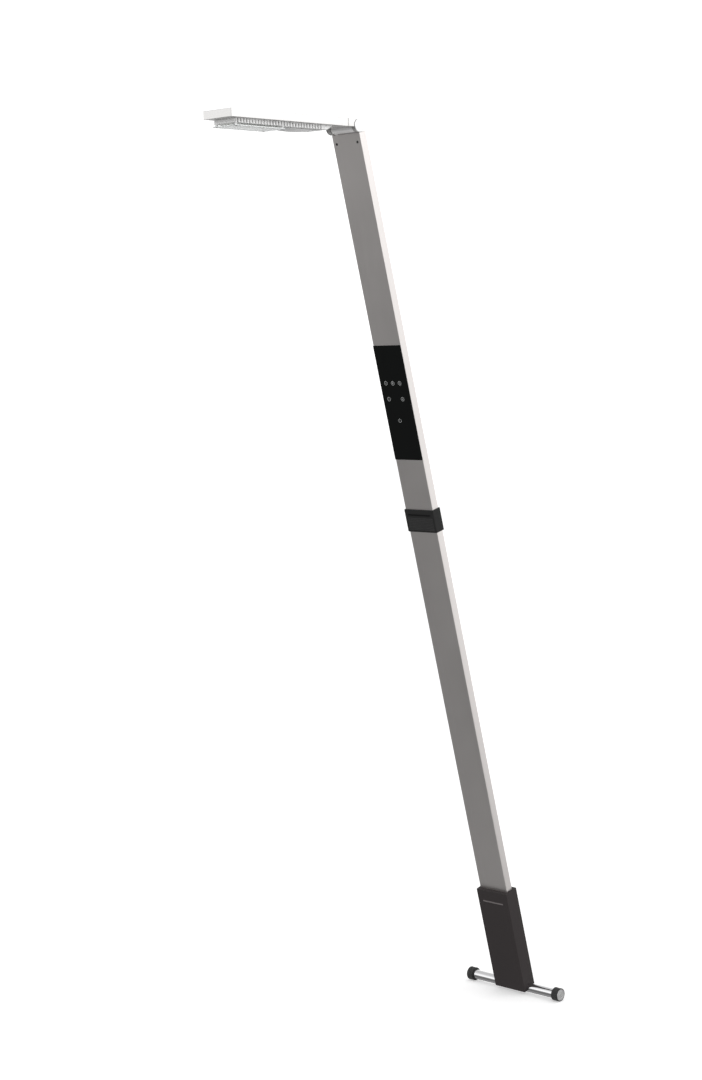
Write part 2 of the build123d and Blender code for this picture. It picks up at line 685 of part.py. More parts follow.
with BuildPart() as screw_posts:
    with BuildSketch(HEAD.offset(HEAD_BOTTOM + FLOOR_T)):
        with Locations(*FLOOR_SCREWS):
            Circle(POST_R)
            Circle(FLOOR_SHANK_R, mode=Mode.SUBTRACT)
    extrude(amount=HEAD_TOP - HEAD_ROOF - HEAD_BOTTOM - FLOOR_T)
save(screw_posts, "screw_posts")

DRIVER_W = 34.0
DRIVER_L = 70.0
DRIVER_T = 1.6
DRIVER_REACH = 85.0
DRIVER_LIFT = 1.5

with BuildPart() as driver_board:
    with BuildSketch(HEAD.offset(HEAD_BOTTOM + FLOOR_T + DRIVER_LIFT)):
        with Locations((0, -DRIVER_REACH)):
            Rectangle(DRIVER_W, DRIVER_L)
    extrude(amount=DRIVER_T)
save(driver_board, "driver_board")

# ---- Heat sink, light and cover under the head ----

SINK_EDGE = 0.8
SLOT_DEEP = 12.0
SLOT_LIP = 2.2
SLOT_ROOF = 0.45
SLOT_FLOOR = 1.3
SLOT_MIDDLE = SLOT_FIRST - SLOT_PITCH * (SLOT_COUNT - 1) / 2
# the light's mounting rail closes most of the depth of the fifth to eleventh slots
RAIL_TIP = SLOT_FIRST - 3.5 * SLOT_PITCH
RAIL_REAR = SLOT_FIRST - 10.5 * SLOT_PITCH
RAIL_HALF = SINK_HALF - 3.2
RAIL_FIT = 0.2
LENS_SCREW_X = 18.5
LENS_SCREW_TIP = 5.4
LENS_SCREW_REAR = 3.86
LENS_SCREWS = [
    (x, -h)
    for x in (-LENS_SCREW_X, LENS_SCREW_X)
    for h in (LENS_REAR + LENS_SCREW_REAR, LENS_TIP - LENS_SCREW_TIP)
]
BOSS_R = 1.9
BOSS_HEIGHT = 3.8
BOSS_HOLE = 3.3

with BuildPart() as heat_sink:
    with BuildSketch(head_side(0)):
        Polygon(
            (SINK_REAR, HEAD_BOTTOM),
            (SINK_TIP, HEAD_BOTTOM),
            (SINK_TIP, SINK_BOTTOM),
            (SINK_REAR + SINK_RAMP, SINK_BOTTOM),
            align=None,
        )
    extrude(amount=SINK_HALF, both=True)
    fillet(heat_sink.edges().filter_by(Axis(HINGE, HEAD_UP)), SINK_EDGE)
    # slots between the fins, along both sides
    with BuildSketch(HEAD.offset(HEAD_BOTTOM - SLOT_ROOF)):
        with Locations((-SINK_HALF, -SLOT_MIDDLE), (SINK_HALF, -SLOT_MIDDLE)):
            with GridLocations(0, SLOT_PITCH, 1, SLOT_COUNT):
                Rectangle(2 * SLOT_DEEP, SLOT_WIDTH)
    extrude(amount=SINK_BOTTOM + SLOT_FLOOR - HEAD_BOTTOM + SLOT_ROOF, mode=Mode.SUBTRACT)
    with BuildSketch(HEAD.offset(HEAD_BOTTOM - SLOT_ROOF)):
        with Locations((-SINK_HALF, -SLOT_MIDDLE), (SINK_HALF, -SLOT_MIDDLE)):
            with GridLocations(0, SLOT_PITCH, 1, SLOT_COUNT):
                Rectangle(2 * SLOT_LIP, SLOT_WIDTH)
    extrude(amount=SINK_BOTTOM - HEAD_BOTTOM, mode=Mode.SUBTRACT)
    with BuildSketch(HEAD.offset(SINK_BOTTOM + RAIL_FIT)):
        with Locations((0, -(RAIL_TIP + RAIL_REAR) / 2)):
            Rectangle(2 * RAIL_HALF, RAIL_TIP - RAIL_REAR)
    extrude(amount=HEAD_BOTTOM - SINK_BOTTOM - 2 * RAIL_FIT)
    # bosses and holes of the light plate's screws
    with BuildSketch(HEAD.offset(SINK_BOTTOM)):
        with Locations(*LENS_SCREWS):
            Circle(BOSS_R)
    extrude(amount=BOSS_HEIGHT)
    with BuildSketch(HEAD.offset(SINK_BOTTOM)):
        with Locations(*LENS_SCREWS):
            Circle(SCREW_R)
    extrude(amount=BOSS_HOLE, mode=Mode.SUBTRACT)
save(heat_sink, "heat_sink")

LED_BOARD_T = 1.0
LED_ROWS = 2
LED_COUNT = 15
LED_BOARD_W = 24.0
LED_MARGIN = 5.0
LED_ROW_GAP = 12.0
LED_PITCH = 5.4
LED_W = 2.8
LED_L = 3.4
LED_T = 0.7
LENS_MID = (LENS_REAR + LENS_TIP) / 2

with BuildPart() as led_board:
    with BuildSketch(HEAD.offset(SINK_BOTTOM)):
        with Locations((0, -LENS_MID)):
            Rectangle(LED_BOARD_W, LENS_TIP - LENS_REAR - 2 * LED_MARGIN)
    extrude(amount=-LED_BOARD_T)
save(led_board, "led_board")

with BuildPart() as led_chips:
    with BuildSketch(HEAD.offset(SINK_BOTTOM - LED_BOARD_T)):
        with Locations((0, -LENS_MID)):
            with GridLocations(LED_ROW_GAP, LED_PITCH, LED_ROWS, LED_COUNT):
                Rectangle(LED_W, LED_L)
    extrude(amount=-LED_T)
save(led_chips, "led_chips")

LENS_CORNER = 2.0
LENS_HEAD_R = 2.1
LENS_HEAD_T = 1.1
LENS_FIT = 0.05
LENS_KEY = 1.0
LENS_KEY_DEEP = 0.6

with BuildPart() as lens_plate:
    with BuildSketch(HEAD.offset(LENS_TOP)):
        with Locations((0, -LENS_MID)):
            RectangleRounded(2 * LENS_HALF, LENS_TIP - LENS_REAR, LENS_CORNER)
        with Locations(*LENS_SCREWS):
            Circle(SCREW_R + LENS_FIT, mode=Mode.SUBTRACT)
    extrude(amount=-LENS_T)
    # counterbores, so that the screws' heads sit flush
    with BuildSketch(HEAD.offset(LENS_TOP - LENS_T)):
        with Locations(*LENS_SCREWS):
            Circle(LENS_HEAD_R + LENS_FIT)
    extrude(amount=LENS_HEAD_T, mode=Mode.SUBTRACT)
save(lens_plate, "lens_plate")

with BuildPart() as lens_spacers:
    with BuildSketch(HEAD.offset(SINK_BOTTOM)):
        with Locations(*LENS_SCREWS):
            Circle(BOSS_R)
            Circle(SCREW_R + LENS_FIT, mode=Mode.SUBTRACT)
    extrude(amount=LENS_TOP - SINK_BOTTOM)
save(lens_spacers, "lens_spacers")

with BuildPart() as lens_screws:
    with BuildSketch(HEAD.offset(LENS_TOP - LENS_T)):
        with Locations(*LENS_SCREWS):
            Circle(LENS_HEAD_R)
    extrude(amount=LENS_HEAD_T)
    with BuildSketch(HEAD.offset(LENS_TOP - LENS_T)):
        with Locations(*LENS_SCREWS):
            Circle(SCREW_R)
    extrude(amount=SINK_BOTTOM - LENS_TOP + LENS_T + BOSS_HOLE)
    with BuildSketch(HEAD.offset(LENS_TOP - LENS_T)):
        with Locations(*LENS_SCREWS):
            RegularPolygon(LENS_KEY, 6)
    extrude(amount=LENS_KEY_DEEP, mode=Mode.SUBTRACT)
save(lens_screws, "lens_screws")

COVER_REAR = 60.0
COVER_TIP = 136.5
COVER_SAG = 2.3
COVER_HALF = 14.0

with BuildPart() as driver_cover:
    with BuildSketch(head_side(0)):
        with BuildLine():
            Line((COVER_REAR, SINK_BOTTOM), (COVER_TIP, SINK_BOTTOM))
            ThreePointArc(
                (COVER_TIP, SINK_BOTTOM),
                ((COVER_REAR + COVER_TIP) / 2, SINK_BOTTOM - COVER_SAG),
                (COVER_REAR, SINK_BOTTOM),
            )
        make_face()
    extrude(amount=COVER_HALF, both=True)
save(driver_cover, "driver_cover")

# ---- Hinge side of the head ----

CHEEK_IN = 21.3
CHEEK_OUT = 27.2
CHEEK_R = 9.2
NUT_DEPTH = 3.0
TENON_LENGTH = 17.0
CAP_IN = CHEEK_OUT + 0.05
CAP_T = 1.2
CAP_EASE = 0.25
CHEEK_EASE = 0.3
CHEEK_GAP = 0.1
POCKET_R = 6.6
REAR_END = 6.0
TENON_MID = 2.8
TENON_H = 5.0
TENON_W = 4.0
NUT_FLAT = 5.0
NUT_FIT = 0.02
WASHER_R = 8.2
WASHER_FIT = 0.05
SHAFT_SHORT = 0.4

with BuildPart() as head_rear_block:
    with BuildSketch(head_side(0)):
        Polygon(
            (REAR_END, HEAD_TOP),
            (HEAD_SEAM - SEAM_GAP, HEAD_TOP),
            (HEAD_SEAM - SEAM_GAP, HEAD_BOTTOM),
            (REAR_END, HEAD_BOTTOM),
            align=None,
        )
    extrude(amount=HEAD_W / 2, both=True)
    fillet(head_rear_block.edges().group_by(Axis(HINGE, HEAD_UP))[-1].filter_by(Axis.X)[0], HEAD_EDGE)
    with BuildSketch(head_side(0)):
        Circle(CHEEK_R + CHEEK_GAP)
    extrude(amount=BLOCK_W, both=True, mode=Mode.SUBTRACT)
    # pockets of the cheeks' tenons
    for side in (-1, 1):
        with BuildSketch(head_side(side * (CHEEK_IN + 1))):
            with Locations((TENON_LENGTH / 2, TENON_MID)):
                Rectangle(TENON_LENGTH, TENON_H)
        extrude(amount=-side * TENON_W, mode=Mode.SUBTRACT)
save(head_rear_block, "head_rear_block")

for side, name in ((-1, "hinge_cheek_left"), (1, "hinge_cheek_right")):
    with BuildPart() as hinge_cheek:
        with BuildSketch(head_side(side * CHEEK_IN)):
            Circle(CHEEK_R)
        extrude(amount=-side * (CHEEK_OUT - CHEEK_IN))
        chamfer(hinge_cheek.edges(), CHEEK_EASE)
        with BuildSketch(head_side(side * (CHEEK_IN + 1))):
            with Locations((TENON_LENGTH / 2, TENON_MID)):
                Rectangle(TENON_LENGTH, TENON_H)
        extrude(amount=-side * TENON_W)
        with BuildSketch(head_side(side * CHEEK_IN)):
            Circle(SHAFT_R + NUT_FIT)
        extrude(amount=-side * BLOCK_W, mode=Mode.SUBTRACT)
        with BuildSketch(head_side(side * (CHEEK_OUT - NUT_DEPTH))):
            Circle(POCKET_R)
        extrude(amount=-side * BLOCK_W, mode=Mode.SUBTRACT)
    save(hinge_cheek, name)

with BuildPart() as hinge_shaft:
    with BuildSketch(head_side(0)):
        Circle(SHAFT_R)
    extrude(amount=CHEEK_OUT - SHAFT_SHORT, both=True)
save(hinge_shaft, "hinge_shaft")

with BuildPart() as shaft_nuts:
    for side in (-1, 1):
        with BuildSketch(head_side(side * (CHEEK_OUT - NUT_DEPTH))):
            RegularPolygon(NUT_FLAT, 6, major_radius=False)
            Circle(SHAFT_R + NUT_FIT, mode=Mode.SUBTRACT)
        extrude(amount=-side * (NUT_DEPTH - 0.5))
save(shaft_nuts, "shaft_nuts")

with BuildPart() as friction_washers:
    for side in (-1, 1):
        with BuildSketch(head_side(side * (BARREL_HALF + CHEEK_GAP))):
            Circle(WASHER_R)
            Circle(SHAFT_R + WASHER_FIT, mode=Mode.SUBTRACT)
        extrude(amount=-side * (CHEEK_IN - BARREL_HALF - CHEEK_GAP))
save(friction_washers, "friction_washers")

with BuildPart() as hinge_caps:
    for side in (-1, 1):
        with BuildSketch(head_side(side * CAP_IN)):
            Circle(CHEEK_R)
        extrude(amount=-side * CAP_T)
    chamfer(hinge_caps.edges(), CAP_EASE)
save(hinge_caps, "hinge_caps")
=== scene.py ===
import json
import math

import bmesh
import bpy
from bpy.props import FloatProperty, FloatVectorProperty, IntProperty, PointerProperty
from bpy.types import Operator, Panel, PropertyGroup
from mathutils import Matrix, Vector


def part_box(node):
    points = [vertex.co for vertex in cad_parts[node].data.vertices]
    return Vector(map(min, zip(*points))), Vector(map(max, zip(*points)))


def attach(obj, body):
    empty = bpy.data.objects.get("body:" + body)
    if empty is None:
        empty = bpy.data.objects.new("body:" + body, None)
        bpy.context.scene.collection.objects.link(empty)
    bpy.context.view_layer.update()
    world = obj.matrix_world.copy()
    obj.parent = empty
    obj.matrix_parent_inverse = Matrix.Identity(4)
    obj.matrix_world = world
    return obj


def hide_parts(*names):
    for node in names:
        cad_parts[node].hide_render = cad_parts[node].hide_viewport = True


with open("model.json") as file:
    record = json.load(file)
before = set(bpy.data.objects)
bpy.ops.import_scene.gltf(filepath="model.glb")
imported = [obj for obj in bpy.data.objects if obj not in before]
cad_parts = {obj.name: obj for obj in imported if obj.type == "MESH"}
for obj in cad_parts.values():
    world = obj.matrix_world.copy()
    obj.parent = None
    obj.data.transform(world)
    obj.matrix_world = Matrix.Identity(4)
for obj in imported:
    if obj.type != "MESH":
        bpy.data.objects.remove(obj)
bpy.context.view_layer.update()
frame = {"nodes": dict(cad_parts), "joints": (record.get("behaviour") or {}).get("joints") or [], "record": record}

bl_info = {
    "name": "Leaning Floor Lamp",
    "version": (1, 0, 0),
    "blender": (4, 5, 0),
    "location": "View3D > Sidebar > Lamp",
    "description": "Builds the leaning lamp's pieces and finishes round its packed frame",
    "category": "Object",
}

MM = 0.001

# ---- Frame: the places of the mast, the foot bar and the head ----

RECORD = frame["record"]
NODES = frame["nodes"]
JOINTS = {joint["name"]: joint for joint in frame["joints"]}
SLOT_OF = {part["node"]: part["material_slot"] for part in RECORD["subparts"]}
BODY_OF = {node: body for body, members in RECORD["behaviour"]["bodies"].items() for node in members}

ACROSS = Vector((1, 0, 0))
ALONG = Vector(JOINTS["collar_slide"]["axis"]).normalized()
BACK = ALONG.cross(ACROSS)
HINGE = Vector(JOINTS["head_tilt"]["pos_m"])


def middle(node):
    """Middle of a CAD node's box."""
    low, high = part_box(node)
    return (low + high) / 2


def axes(origin, x, y, z):
    """Matrix that takes a piece from its own axes to its place in the frame."""
    turn = Matrix((x, y, z)).transposed()
    return Matrix.Translation(origin) @ turn.to_4x4()


def flat_normal(node):
    """Upward normal of the largest flat face of a CAD node."""
    normal = max(NODES[node].data.polygons, key=lambda face: face.area).normal.copy()
    return normal if normal.z > 0 else -normal


HEAD_UP = flat_normal("head_floor")
# Mast: x across, y towards the back, z along the mast from the bar's axis
MAST = axes(middle("foot_bar"), ACROSS, BACK, ALONG)
# Head: x across, y from the tip towards the hinge, z up from the hinge
HEAD = axes(HINGE, ACROSS, HEAD_UP.cross(ACROSS), HEAD_UP)
# Bar and hinge pieces are turned about their own z, which lies along X
BAR = axes(middle("foot_bar"), BACK, ALONG, ACROSS)
PIN = axes(HINGE, HEAD_UP.cross(ACROSS), HEAD_UP, ACROSS)


def local_box(node, place):
    """Lowest and highest corner of a CAD node in a place's axes."""
    return bounds_of([place.inverted() @ vertex.co for vertex in NODES[node].data.vertices])


def bounds_of(points):
    """Lowest and highest corner of some points."""
    low = Vector([min(point[axis] for point in points) for axis in range(3)])
    high = Vector([max(point[axis] for point in points) for axis in range(3)])
    return low, high


def solids(node, place):
    """Box of each separate solid of a CAD node in a place's axes, as (low, high) pairs."""
    mesh = bmesh.new()
    mesh.from_mesh(NODES[node].data)
    bmesh.ops.remove_doubles(mesh, verts=mesh.verts, dist=0.001 * MM)
    inverse = place.inverted()
    waiting = set(mesh.verts)
    boxes = []
    while waiting:
        group = [waiting.pop()]
        for vertex in group:
            for edge in vertex.link_edges:
                other = edge.other_vert(vertex)
                if other in waiting:
                    waiting.remove(other)
                    group.append(other)
        boxes.append(bounds_of([inverse @ vertex.co for vertex in group]))
    mesh.free()
    return sorted(boxes, key=lambda pair: tuple(round(value, 5) for value in pair[0]))


# ---- Settings that a user can change ----


def length(name, description, default):
    """A length in millimetres, kept in metres."""
    return FloatProperty(
        name=name, description=description, default=default * MM, min=0, unit="LENGTH",
        subtype="DISTANCE"
    )


def colour(name, description, default):
    """A linear colour."""
    return FloatVectorProperty(
        name=name, description=description, default=default, min=0, max=1, size=3, subtype="COLOR"
    )


def factor(name, description, default):
    """A share from 0 to 1."""
    return FloatProperty(
        name=name, description=description, default=default, min=0, max=1, subtype="FACTOR"
    )


def brightness(name, description, default):
    """A brightness of the studio, from 0 up."""
    return FloatProperty(name=name, description=description, default=default, min=0)


class LampSizes(PropertyGroup):
    """Sizes of the lamp's details that the frame doesn't give."""

    mast_corner: length("Mast corner", "Radius of the mast's long corners", 0.9)
    mast_wall: length("Mast wall", "Wall of the extruded mast", 1.6)
    mast_end: length("Mast end", "Chamfer round the mast's cut ends", 0.25)
    glass_edge: length("Glass edge", "Rounding of the touch panel's front edge", 0.3)
    mark_size: length("Mark size", "Radius of the touch marks", 3.1)
    mark_line: length("Mark line", "Width of the touch marks' lines", 0.62)
    collar_corner: length("Collar corner", "Radius of the collar's long corners", 0.8)
    collar_edge: length("Collar edge", "Rounding of the collar's ends", 0.3)
    rib_rise: length("Rib rise", "Height of the grip pad's ribs", 0.5)
    foot_corner: length("Foot corner", "Radius of the foot housing's long corners", 1.0)
    foot_edge: length("Foot edge", "Rounding round the foot housing's ends", 0.6)
    foot_wall: length("Foot wall", "Wall of the foot housing", 2.2)
    foot_roof: length("Foot roof", "Thickness of the foot housing's top", 6.0)
    knurl_depth: length("Knurl depth", "Depth of the knurl on the rubber caps", 0.55)
    head_corner: length("Head corner", "Radius of the head's upright corners", 0.8)
    head_edge: length("Head edge", "Rounding round the head's top", 0.6)
    head_wall: length("Head wall", "Wall of the head housing", 1.6)
    head_roof: length("Head roof", "Thickness of the head housing's top", 1.8)
    sink_edge: length("Sink edge", "Rounding of the heat sink's edges", 0.5)
    slot_depth: length("Slot depth", "Depth of the heat sink's slots", 12.0)
    slot_width: length("Slot width", "Width of one slot", 2.7)
    slot_pitch: length("Slot pitch", "Distance from slot to slot", 5.39)
    slot_count: IntProperty(name="Slots", description="Slots along each side", default=30, min=1)
    knurl_ridges: IntProperty(
        name="Knurl ridges", description="Ridges round a rubber cap", default=24, min=8
    )
    rib_count: IntProperty(name="Ribs", description="Ribs on the grip pad", default=8, min=1)


class LampColours(PropertyGroup):
    """Colours of the lamp's finishes."""

    mast: colour("Mast", "Satin anodised mast", (0.720, 0.690, 0.675))
    head: colour("Head", "Fine satin anodised head", (0.64, 0.632, 0.625))
    sink: colour("Heat sink", "Blasted heat sink", (0.96, 0.955, 0.95))
    barrel: colour("Hinge barrel", "Satin hinge barrel", (0.93, 0.92, 0.915))
    cheek: colour("Hinge cheeks", "Dark satin cheeks", (0.52, 0.515, 0.51))
    chrome: colour("Chrome", "Polished bar", (0.78, 0.78, 0.79))
    disc: colour("End discs", "Turned discs", (0.75, 0.75, 0.75))
    steel: colour("Dark screws", "Black oxide screws", (0.085, 0.083, 0.082))
    nickel: colour("Nickel", "Plated contacts", (0.66, 0.63, 0.57))
    foot: colour("Foot", "Fine matt black housing", (0.044, 0.038, 0.0385))
    collar: colour("Collar", "Fine matt black collar", (0.0175, 0.0175, 0.0175))
    rubber: colour("Rubber", "Black rubber", (0.010, 0.010, 0.010))
    glass: colour("Panel glass", "Gloss black cover glass", (0.0025, 0.0034, 0.0031))
    mark: colour("Touch marks", "Printed grey marks", (0.46, 0.47, 0.47))
    cover: colour("Bowed cover", "Satin grey cover", (0.74, 0.74, 0.74))
    board: colour("Circuit board", "Green solder mask", (0.02, 0.12, 0.05))
    carrier: colour("LED board", "White solder mask", (0.82, 0.82, 0.80))
    phosphor: colour("Emitters", "Yellow phosphor", (0.90, 0.72, 0.25))
    light_plate: colour("Light plate", "Clear light plate", (0.93, 0.955, 0.95))
    wrap: colour("Cell wrap", "Shrink wrap of the cells", (0.04, 0.14, 0.40))
    loom: colour("Wire loom", "Flat grey ribbon", (0.28, 0.28, 0.29))


class LampStudio(PropertyGroup):
    """Light, floor and camera."""

    wall: brightness("Wall", "Brightness of the studio round the horizon", 1.31)
    ceiling: brightness("Ceiling", "Brightness of the studio overhead", 0.68)
    ground: brightness("Ground", "Brightness seen below the horizon", 0.21)
    glow: brightness("Glow", "Brightness seen straight below", 0.8)
    lean: FloatProperty(
        name="Lean", description="How much lower the bright wall reaches on the right and at the back",
        default=0.06
    )
    key_power: FloatProperty(
        name="Key power", description="Power of the soft key light", default=6.0, min=0, unit="POWER"
    )
    key_size: FloatProperty(
        name="Key size", description="Side of the soft key light", default=1.6, min=0, unit="LENGTH"
    )
    key_place: FloatVectorProperty(
        name="Key place", description="Where the key light hangs", default=(1.7, 0.9, 2.3),
        subtype="TRANSLATION"
    )
    floor: colour("Floor", "Pale floor", (0.93, 0.93, 0.93))
    floor_lift: factor("Floor lift", "Light that the floor adds of its own, to stay white", 0.34)
    camera_place: FloatVectorProperty(
        name="Camera place", description="Where the camera stands",
        default=(2.02599, -2.50477, 0.93512), subtype="TRANSLATION"
    )
    camera_turn: FloatProperty(
        name="Camera turn", description="Turn of the camera about Z", default=math.radians(43.585),
        subtype="ANGLE"
    )
    camera_dip: FloatProperty(
        name="Camera dip", description="How far the camera looks down", default=math.radians(3.944),
        subtype="ANGLE"
    )
    camera_lens: FloatProperty(
        name="Camera lens", description="Focal length in millimetres for a 36 mm high picture",
        default=68.833
    )


# ---- Node trees written as expressions ----


class Wire:
    """An output socket that Python's arithmetic adds Math nodes to."""

    def __init__(self, tree, socket):
        self.tree = tree
        self.socket = socket

    def math(self, operation, first, second):
        node = self.tree.nodes.new("ShaderNodeMath")
        node.operation = operation
        for place, value in enumerate((first, second)):
            if isinstance(value, Wire):
                self.tree.links.new(value.socket, node.inputs[place])
            else:
                node.inputs[place].default_value = value
        return Wire(self.tree, node.outputs[0])

    def __add__(self, other):
        return self.math("ADD", self, other)

    def __radd__(self, other):
        return self.math("ADD", other, self)

    def __sub__(self, other):
        return self.math("SUBTRACT", self, other)

    def __rsub__(self, other):
        return self.math("SUBTRACT", other, self)

    def __mul__(self, other):
        return self.math("MULTIPLY", self, other)

    def __rmul__(self, other):
        return self.math("MULTIPLY", other, self)

    def __truediv__(self, other):
        return self.math("DIVIDE", self, other)

    def __pow__(self, other):
        return self.math("POWER", self, other)

    def __gt__(self, other):
        return self.math("GREATER_THAN", self, other)

    def __lt__(self, other):
        return self.math("LESS_THAN", self, other)


class Nodes:
    """Adds nodes to one tree."""

    def __init__(self, tree):
        self.tree = tree

    def add(self, kind, settings=None, output=0, **sockets):
        """Adds a node, its settings before its sockets, and returns one of its outputs."""
        node = self.tree.nodes.new(kind)
        for name, value in (settings or {}).items():
            if name == "stops":
                self.set_stops(node.color_ramp, value)
            else:
                setattr(node, name, value)
        for name, value in sockets.items():
            socket = self.find(node, name)
            if isinstance(value, Wire):
                self.tree.links.new(value.socket, socket)
            else:
                socket.default_value = value
        return Wire(self.tree, node.outputs[output])

    @staticmethod
    def find(node, name):
        """Input socket with this identifier or name; underscores stand for spaces."""
        for socket in node.inputs:
            names = (socket.identifier, socket.name, socket.name.replace(" ", "_"))
            if socket.enabled and name in names:
                return socket
        raise KeyError(f"{node.bl_idname} has no input {name}")

    @staticmethod
    def set_stops(ramp, stops):
        """Sets a colour ramp's stops from (position, grey) pairs."""
        while len(ramp.elements) < len(stops):
            ramp.elements.new(1)
        for element, (position, grey) in zip(ramp.elements, stops):
            element.position = position
            element.color = (grey, grey, grey, 1)


# ---- Finishes ----

FINISHES = {}


class Finish(Nodes):
    """A procedural finish on one Principled shader."""

    def __init__(self, name, turn=None, **constants):
        self.material = bpy.data.materials.new(name)
        self.material.use_nodes = True
        super().__init__(self.material.node_tree)
        self.shader = self.tree.nodes["Principled BSDF"]
        for key, value in constants.items():
            self.find(self.shader, key).default_value = value
        # pattern axes: those of the mast or the head, so a grain runs along its piece
        angles = turn.to_euler() if turn else (0, 0, 0)
        coordinates = self.add("ShaderNodeTexCoord", output=3)
        back = [-angle for angle in angles]
        self.place = self.add("ShaderNodeMapping", Vector=coordinates, Rotation=back)
        FINISHES[name] = self.material

    def noise(self, scale, stretch=(1, 1, 1), detail=2.0, roughness=0.5):
        """Noise from 0 to 1: cells to the metre, stretched by a factor along each axis."""
        cells = [scale / value for value in stretch]
        vector = self.add("ShaderNodeMapping", Vector=self.place, Scale=cells)
        return self.add(
            "ShaderNodeTexNoise", Vector=vector, Scale=1.0, Detail=detail, Roughness=roughness
        )

    def axis(self, index):
        """One coordinate of the pattern axes, in metres."""
        return self.add("ShaderNodeSeparateXYZ", output=index, Vector=self.place)

    def edge(self):
        """1 on rounded edges and knurl crests, 0 on flats and -1 in a recess."""
        return self.add("ShaderNodeAttribute", {"attribute_name": "edge"}, output=2)

    def mix(self, share, first, second):
        """Colour from first to second as share goes from 0 to 1."""
        values = {}
        for name, value in (("A_Color", first), ("B_Color", second)):
            values[name] = value if isinstance(value, Wire) else (*value, 1)
        return self.add(
            "ShaderNodeMix", {"data_type": "RGBA"}, output=2, Factor_Float=share, **values
        )

    def set(self, **sockets):
        """Links or sets the shader's sockets."""
        for name, value in sockets.items():
            socket = self.find(self.shader, name)
            if isinstance(value, Wire):
                self.tree.links.new(value.socket, socket)
            else:
                socket.default_value = value

    def bump(self, height, distance):
        """Bump with a height from 0 to 1 over a distance in metres."""
        normal = self.add("ShaderNodeBump", Height=height, Distance=distance, Strength=1.0)
        self.set(Normal=normal)


def scaled(colour_value, amount):
    """A colour made lighter or darker."""
    return tuple(min(1.0, channel * amount) for channel in colour_value)


def anodised(name, base, roughness, turn, grain=(1, 1, 60), depth=0.006 * MM, metal=1.0, edge_wear_and_shade=1.3):
    """Satin aluminium: a grain along the extrusion, slow tone changes and rubbed edges made lighter; an edge tone
    below 1 paints the rounded edges darker instead, as painted shade.

    A metal value below 1 gives the paler look of a blasted surface.
    """
    finish = Finish(name, turn, Metallic=metal)
    cloud = finish.noise(14, detail=3.0)
    streak = finish.noise(1400, grain, detail=3.0, roughness=0.6)
    speck = finish.noise(5200, detail=1.0)
    edge_wear_and_shade_mask = finish.edge() * finish.noise(90, detail=4.0)
    tone = finish.mix(cloud * 0.7 + streak * 0.3, scaled(base, 0.95), scaled(base, 1.05))
    # rounded edges take the edge tone: lighter as rubbed metal above 1, painted shade below 1
    finish.set(Base_Color=finish.mix(edge_wear_and_shade_mask * 0.55, tone, scaled(base, edge_wear_and_shade)))
    finish.set(Roughness=roughness + (streak - 0.5) * 0.12 + (cloud - 0.5) * 0.05 - edge_wear_and_shade_mask * 0.08)
    finish.bump(streak * 0.6 + speck * 0.4, depth)


RING_RATE = 9000


def turned_metal(name, base, roughness, centre):
    """Turned metal: fine rings about the bar's or the pin's axis."""
    finish = Finish(name, Metallic=1.0)
    back = [-value for value in centre]
    offset = finish.add("ShaderNodeMapping", Vector=finish.place, Location=back)
    across = finish.add("ShaderNodeSeparateXYZ", output=1, Vector=offset)
    up = finish.add("ShaderNodeSeparateXYZ", output=2, Vector=offset)
    radius = (across * across + up * up) ** 0.5
    rings = finish.add("ShaderNodeMath", {"operation": "SINE"}, Value=radius * RING_RATE)
    cloud = finish.noise(160, detail=3.0)
    speck = finish.noise(2600, detail=2.0)
    finish.set(Base_Color=finish.mix(cloud, scaled(base, 0.93), scaled(base, 1.06)))
    finish.set(Roughness=roughness + rings * 0.05 + (speck - 0.5) * 0.10)
    finish.bump(rings * 0.5 + speck * 0.3, 0.01 * MM)


def moulded(name, base, roughness, grain=1500, depth=0.02 * MM, edge_wear_and_shade=1.5, gloss=0.5):
    """Fine matt moulded or painted surface: pebbled grain, faint mottling, rubbed edges made lighter, painted
    shade on the edges when the edge tone is below 1, and painted shade at the bottom of a recess.
    """
    finish = Finish(name, Specular_IOR_Level=gloss)
    pebble = finish.noise(grain, detail=2.0, roughness=0.7)
    cloud = finish.noise(22, detail=4.0)
    edge_wear_and_shade_mask = (finish.edge() > 0.5) * finish.noise(140, detail=4.0)
    tone = finish.mix(cloud * 0.6 + pebble * 0.4, scaled(base, 0.86), scaled(base, 1.14))
    # rounded edges take the edge tone: lighter as rubbed edges above 1, painted shade below 1
    tone = finish.mix(edge_wear_and_shade_mask * 0.6, tone, scaled(base, edge_wear_and_shade))
    # painted shade: the bottom of a recess is painted near black, standing for the shade where no light reaches
    finish.set(Base_Color=finish.mix((finish.edge() < -0.5) * 0.85, tone, (0, 0, 0)))
    finish.set(Roughness=roughness + (cloud - 0.5) * 0.12 + (pebble - 0.5) * 0.10 - edge_wear_and_shade_mask * 0.10)
    finish.bump(pebble, depth)


def rubber(name, base, crest=1.6):
    """Dull rubber with a mottled dusty tone; crest is how much lighter the tops of a knurl are painted, a painted
    highlight.
    """
    finish = Finish(name, Sheen_Weight=0.15, Sheen_Roughness=0.5)
    pebble = finish.noise(2200, detail=2.0)
    dust = finish.noise(60, detail=5.0, roughness=0.65)
    tone = finish.mix(dust * 0.7, scaled(base, 0.6), scaled(base, 1.5))
    # painted highlight: the crests of a knurl and the slopes of ribs painted lighter
    finish.set(Base_Color=finish.mix(finish.edge() ** 3, tone, scaled(base, crest)))
    finish.set(Roughness=0.62 + dust * 0.22)
    finish.bump(pebble, 0.03 * MM)


CHROME_FADE = 3.5 * MM
CHROME_DARK = 0.5


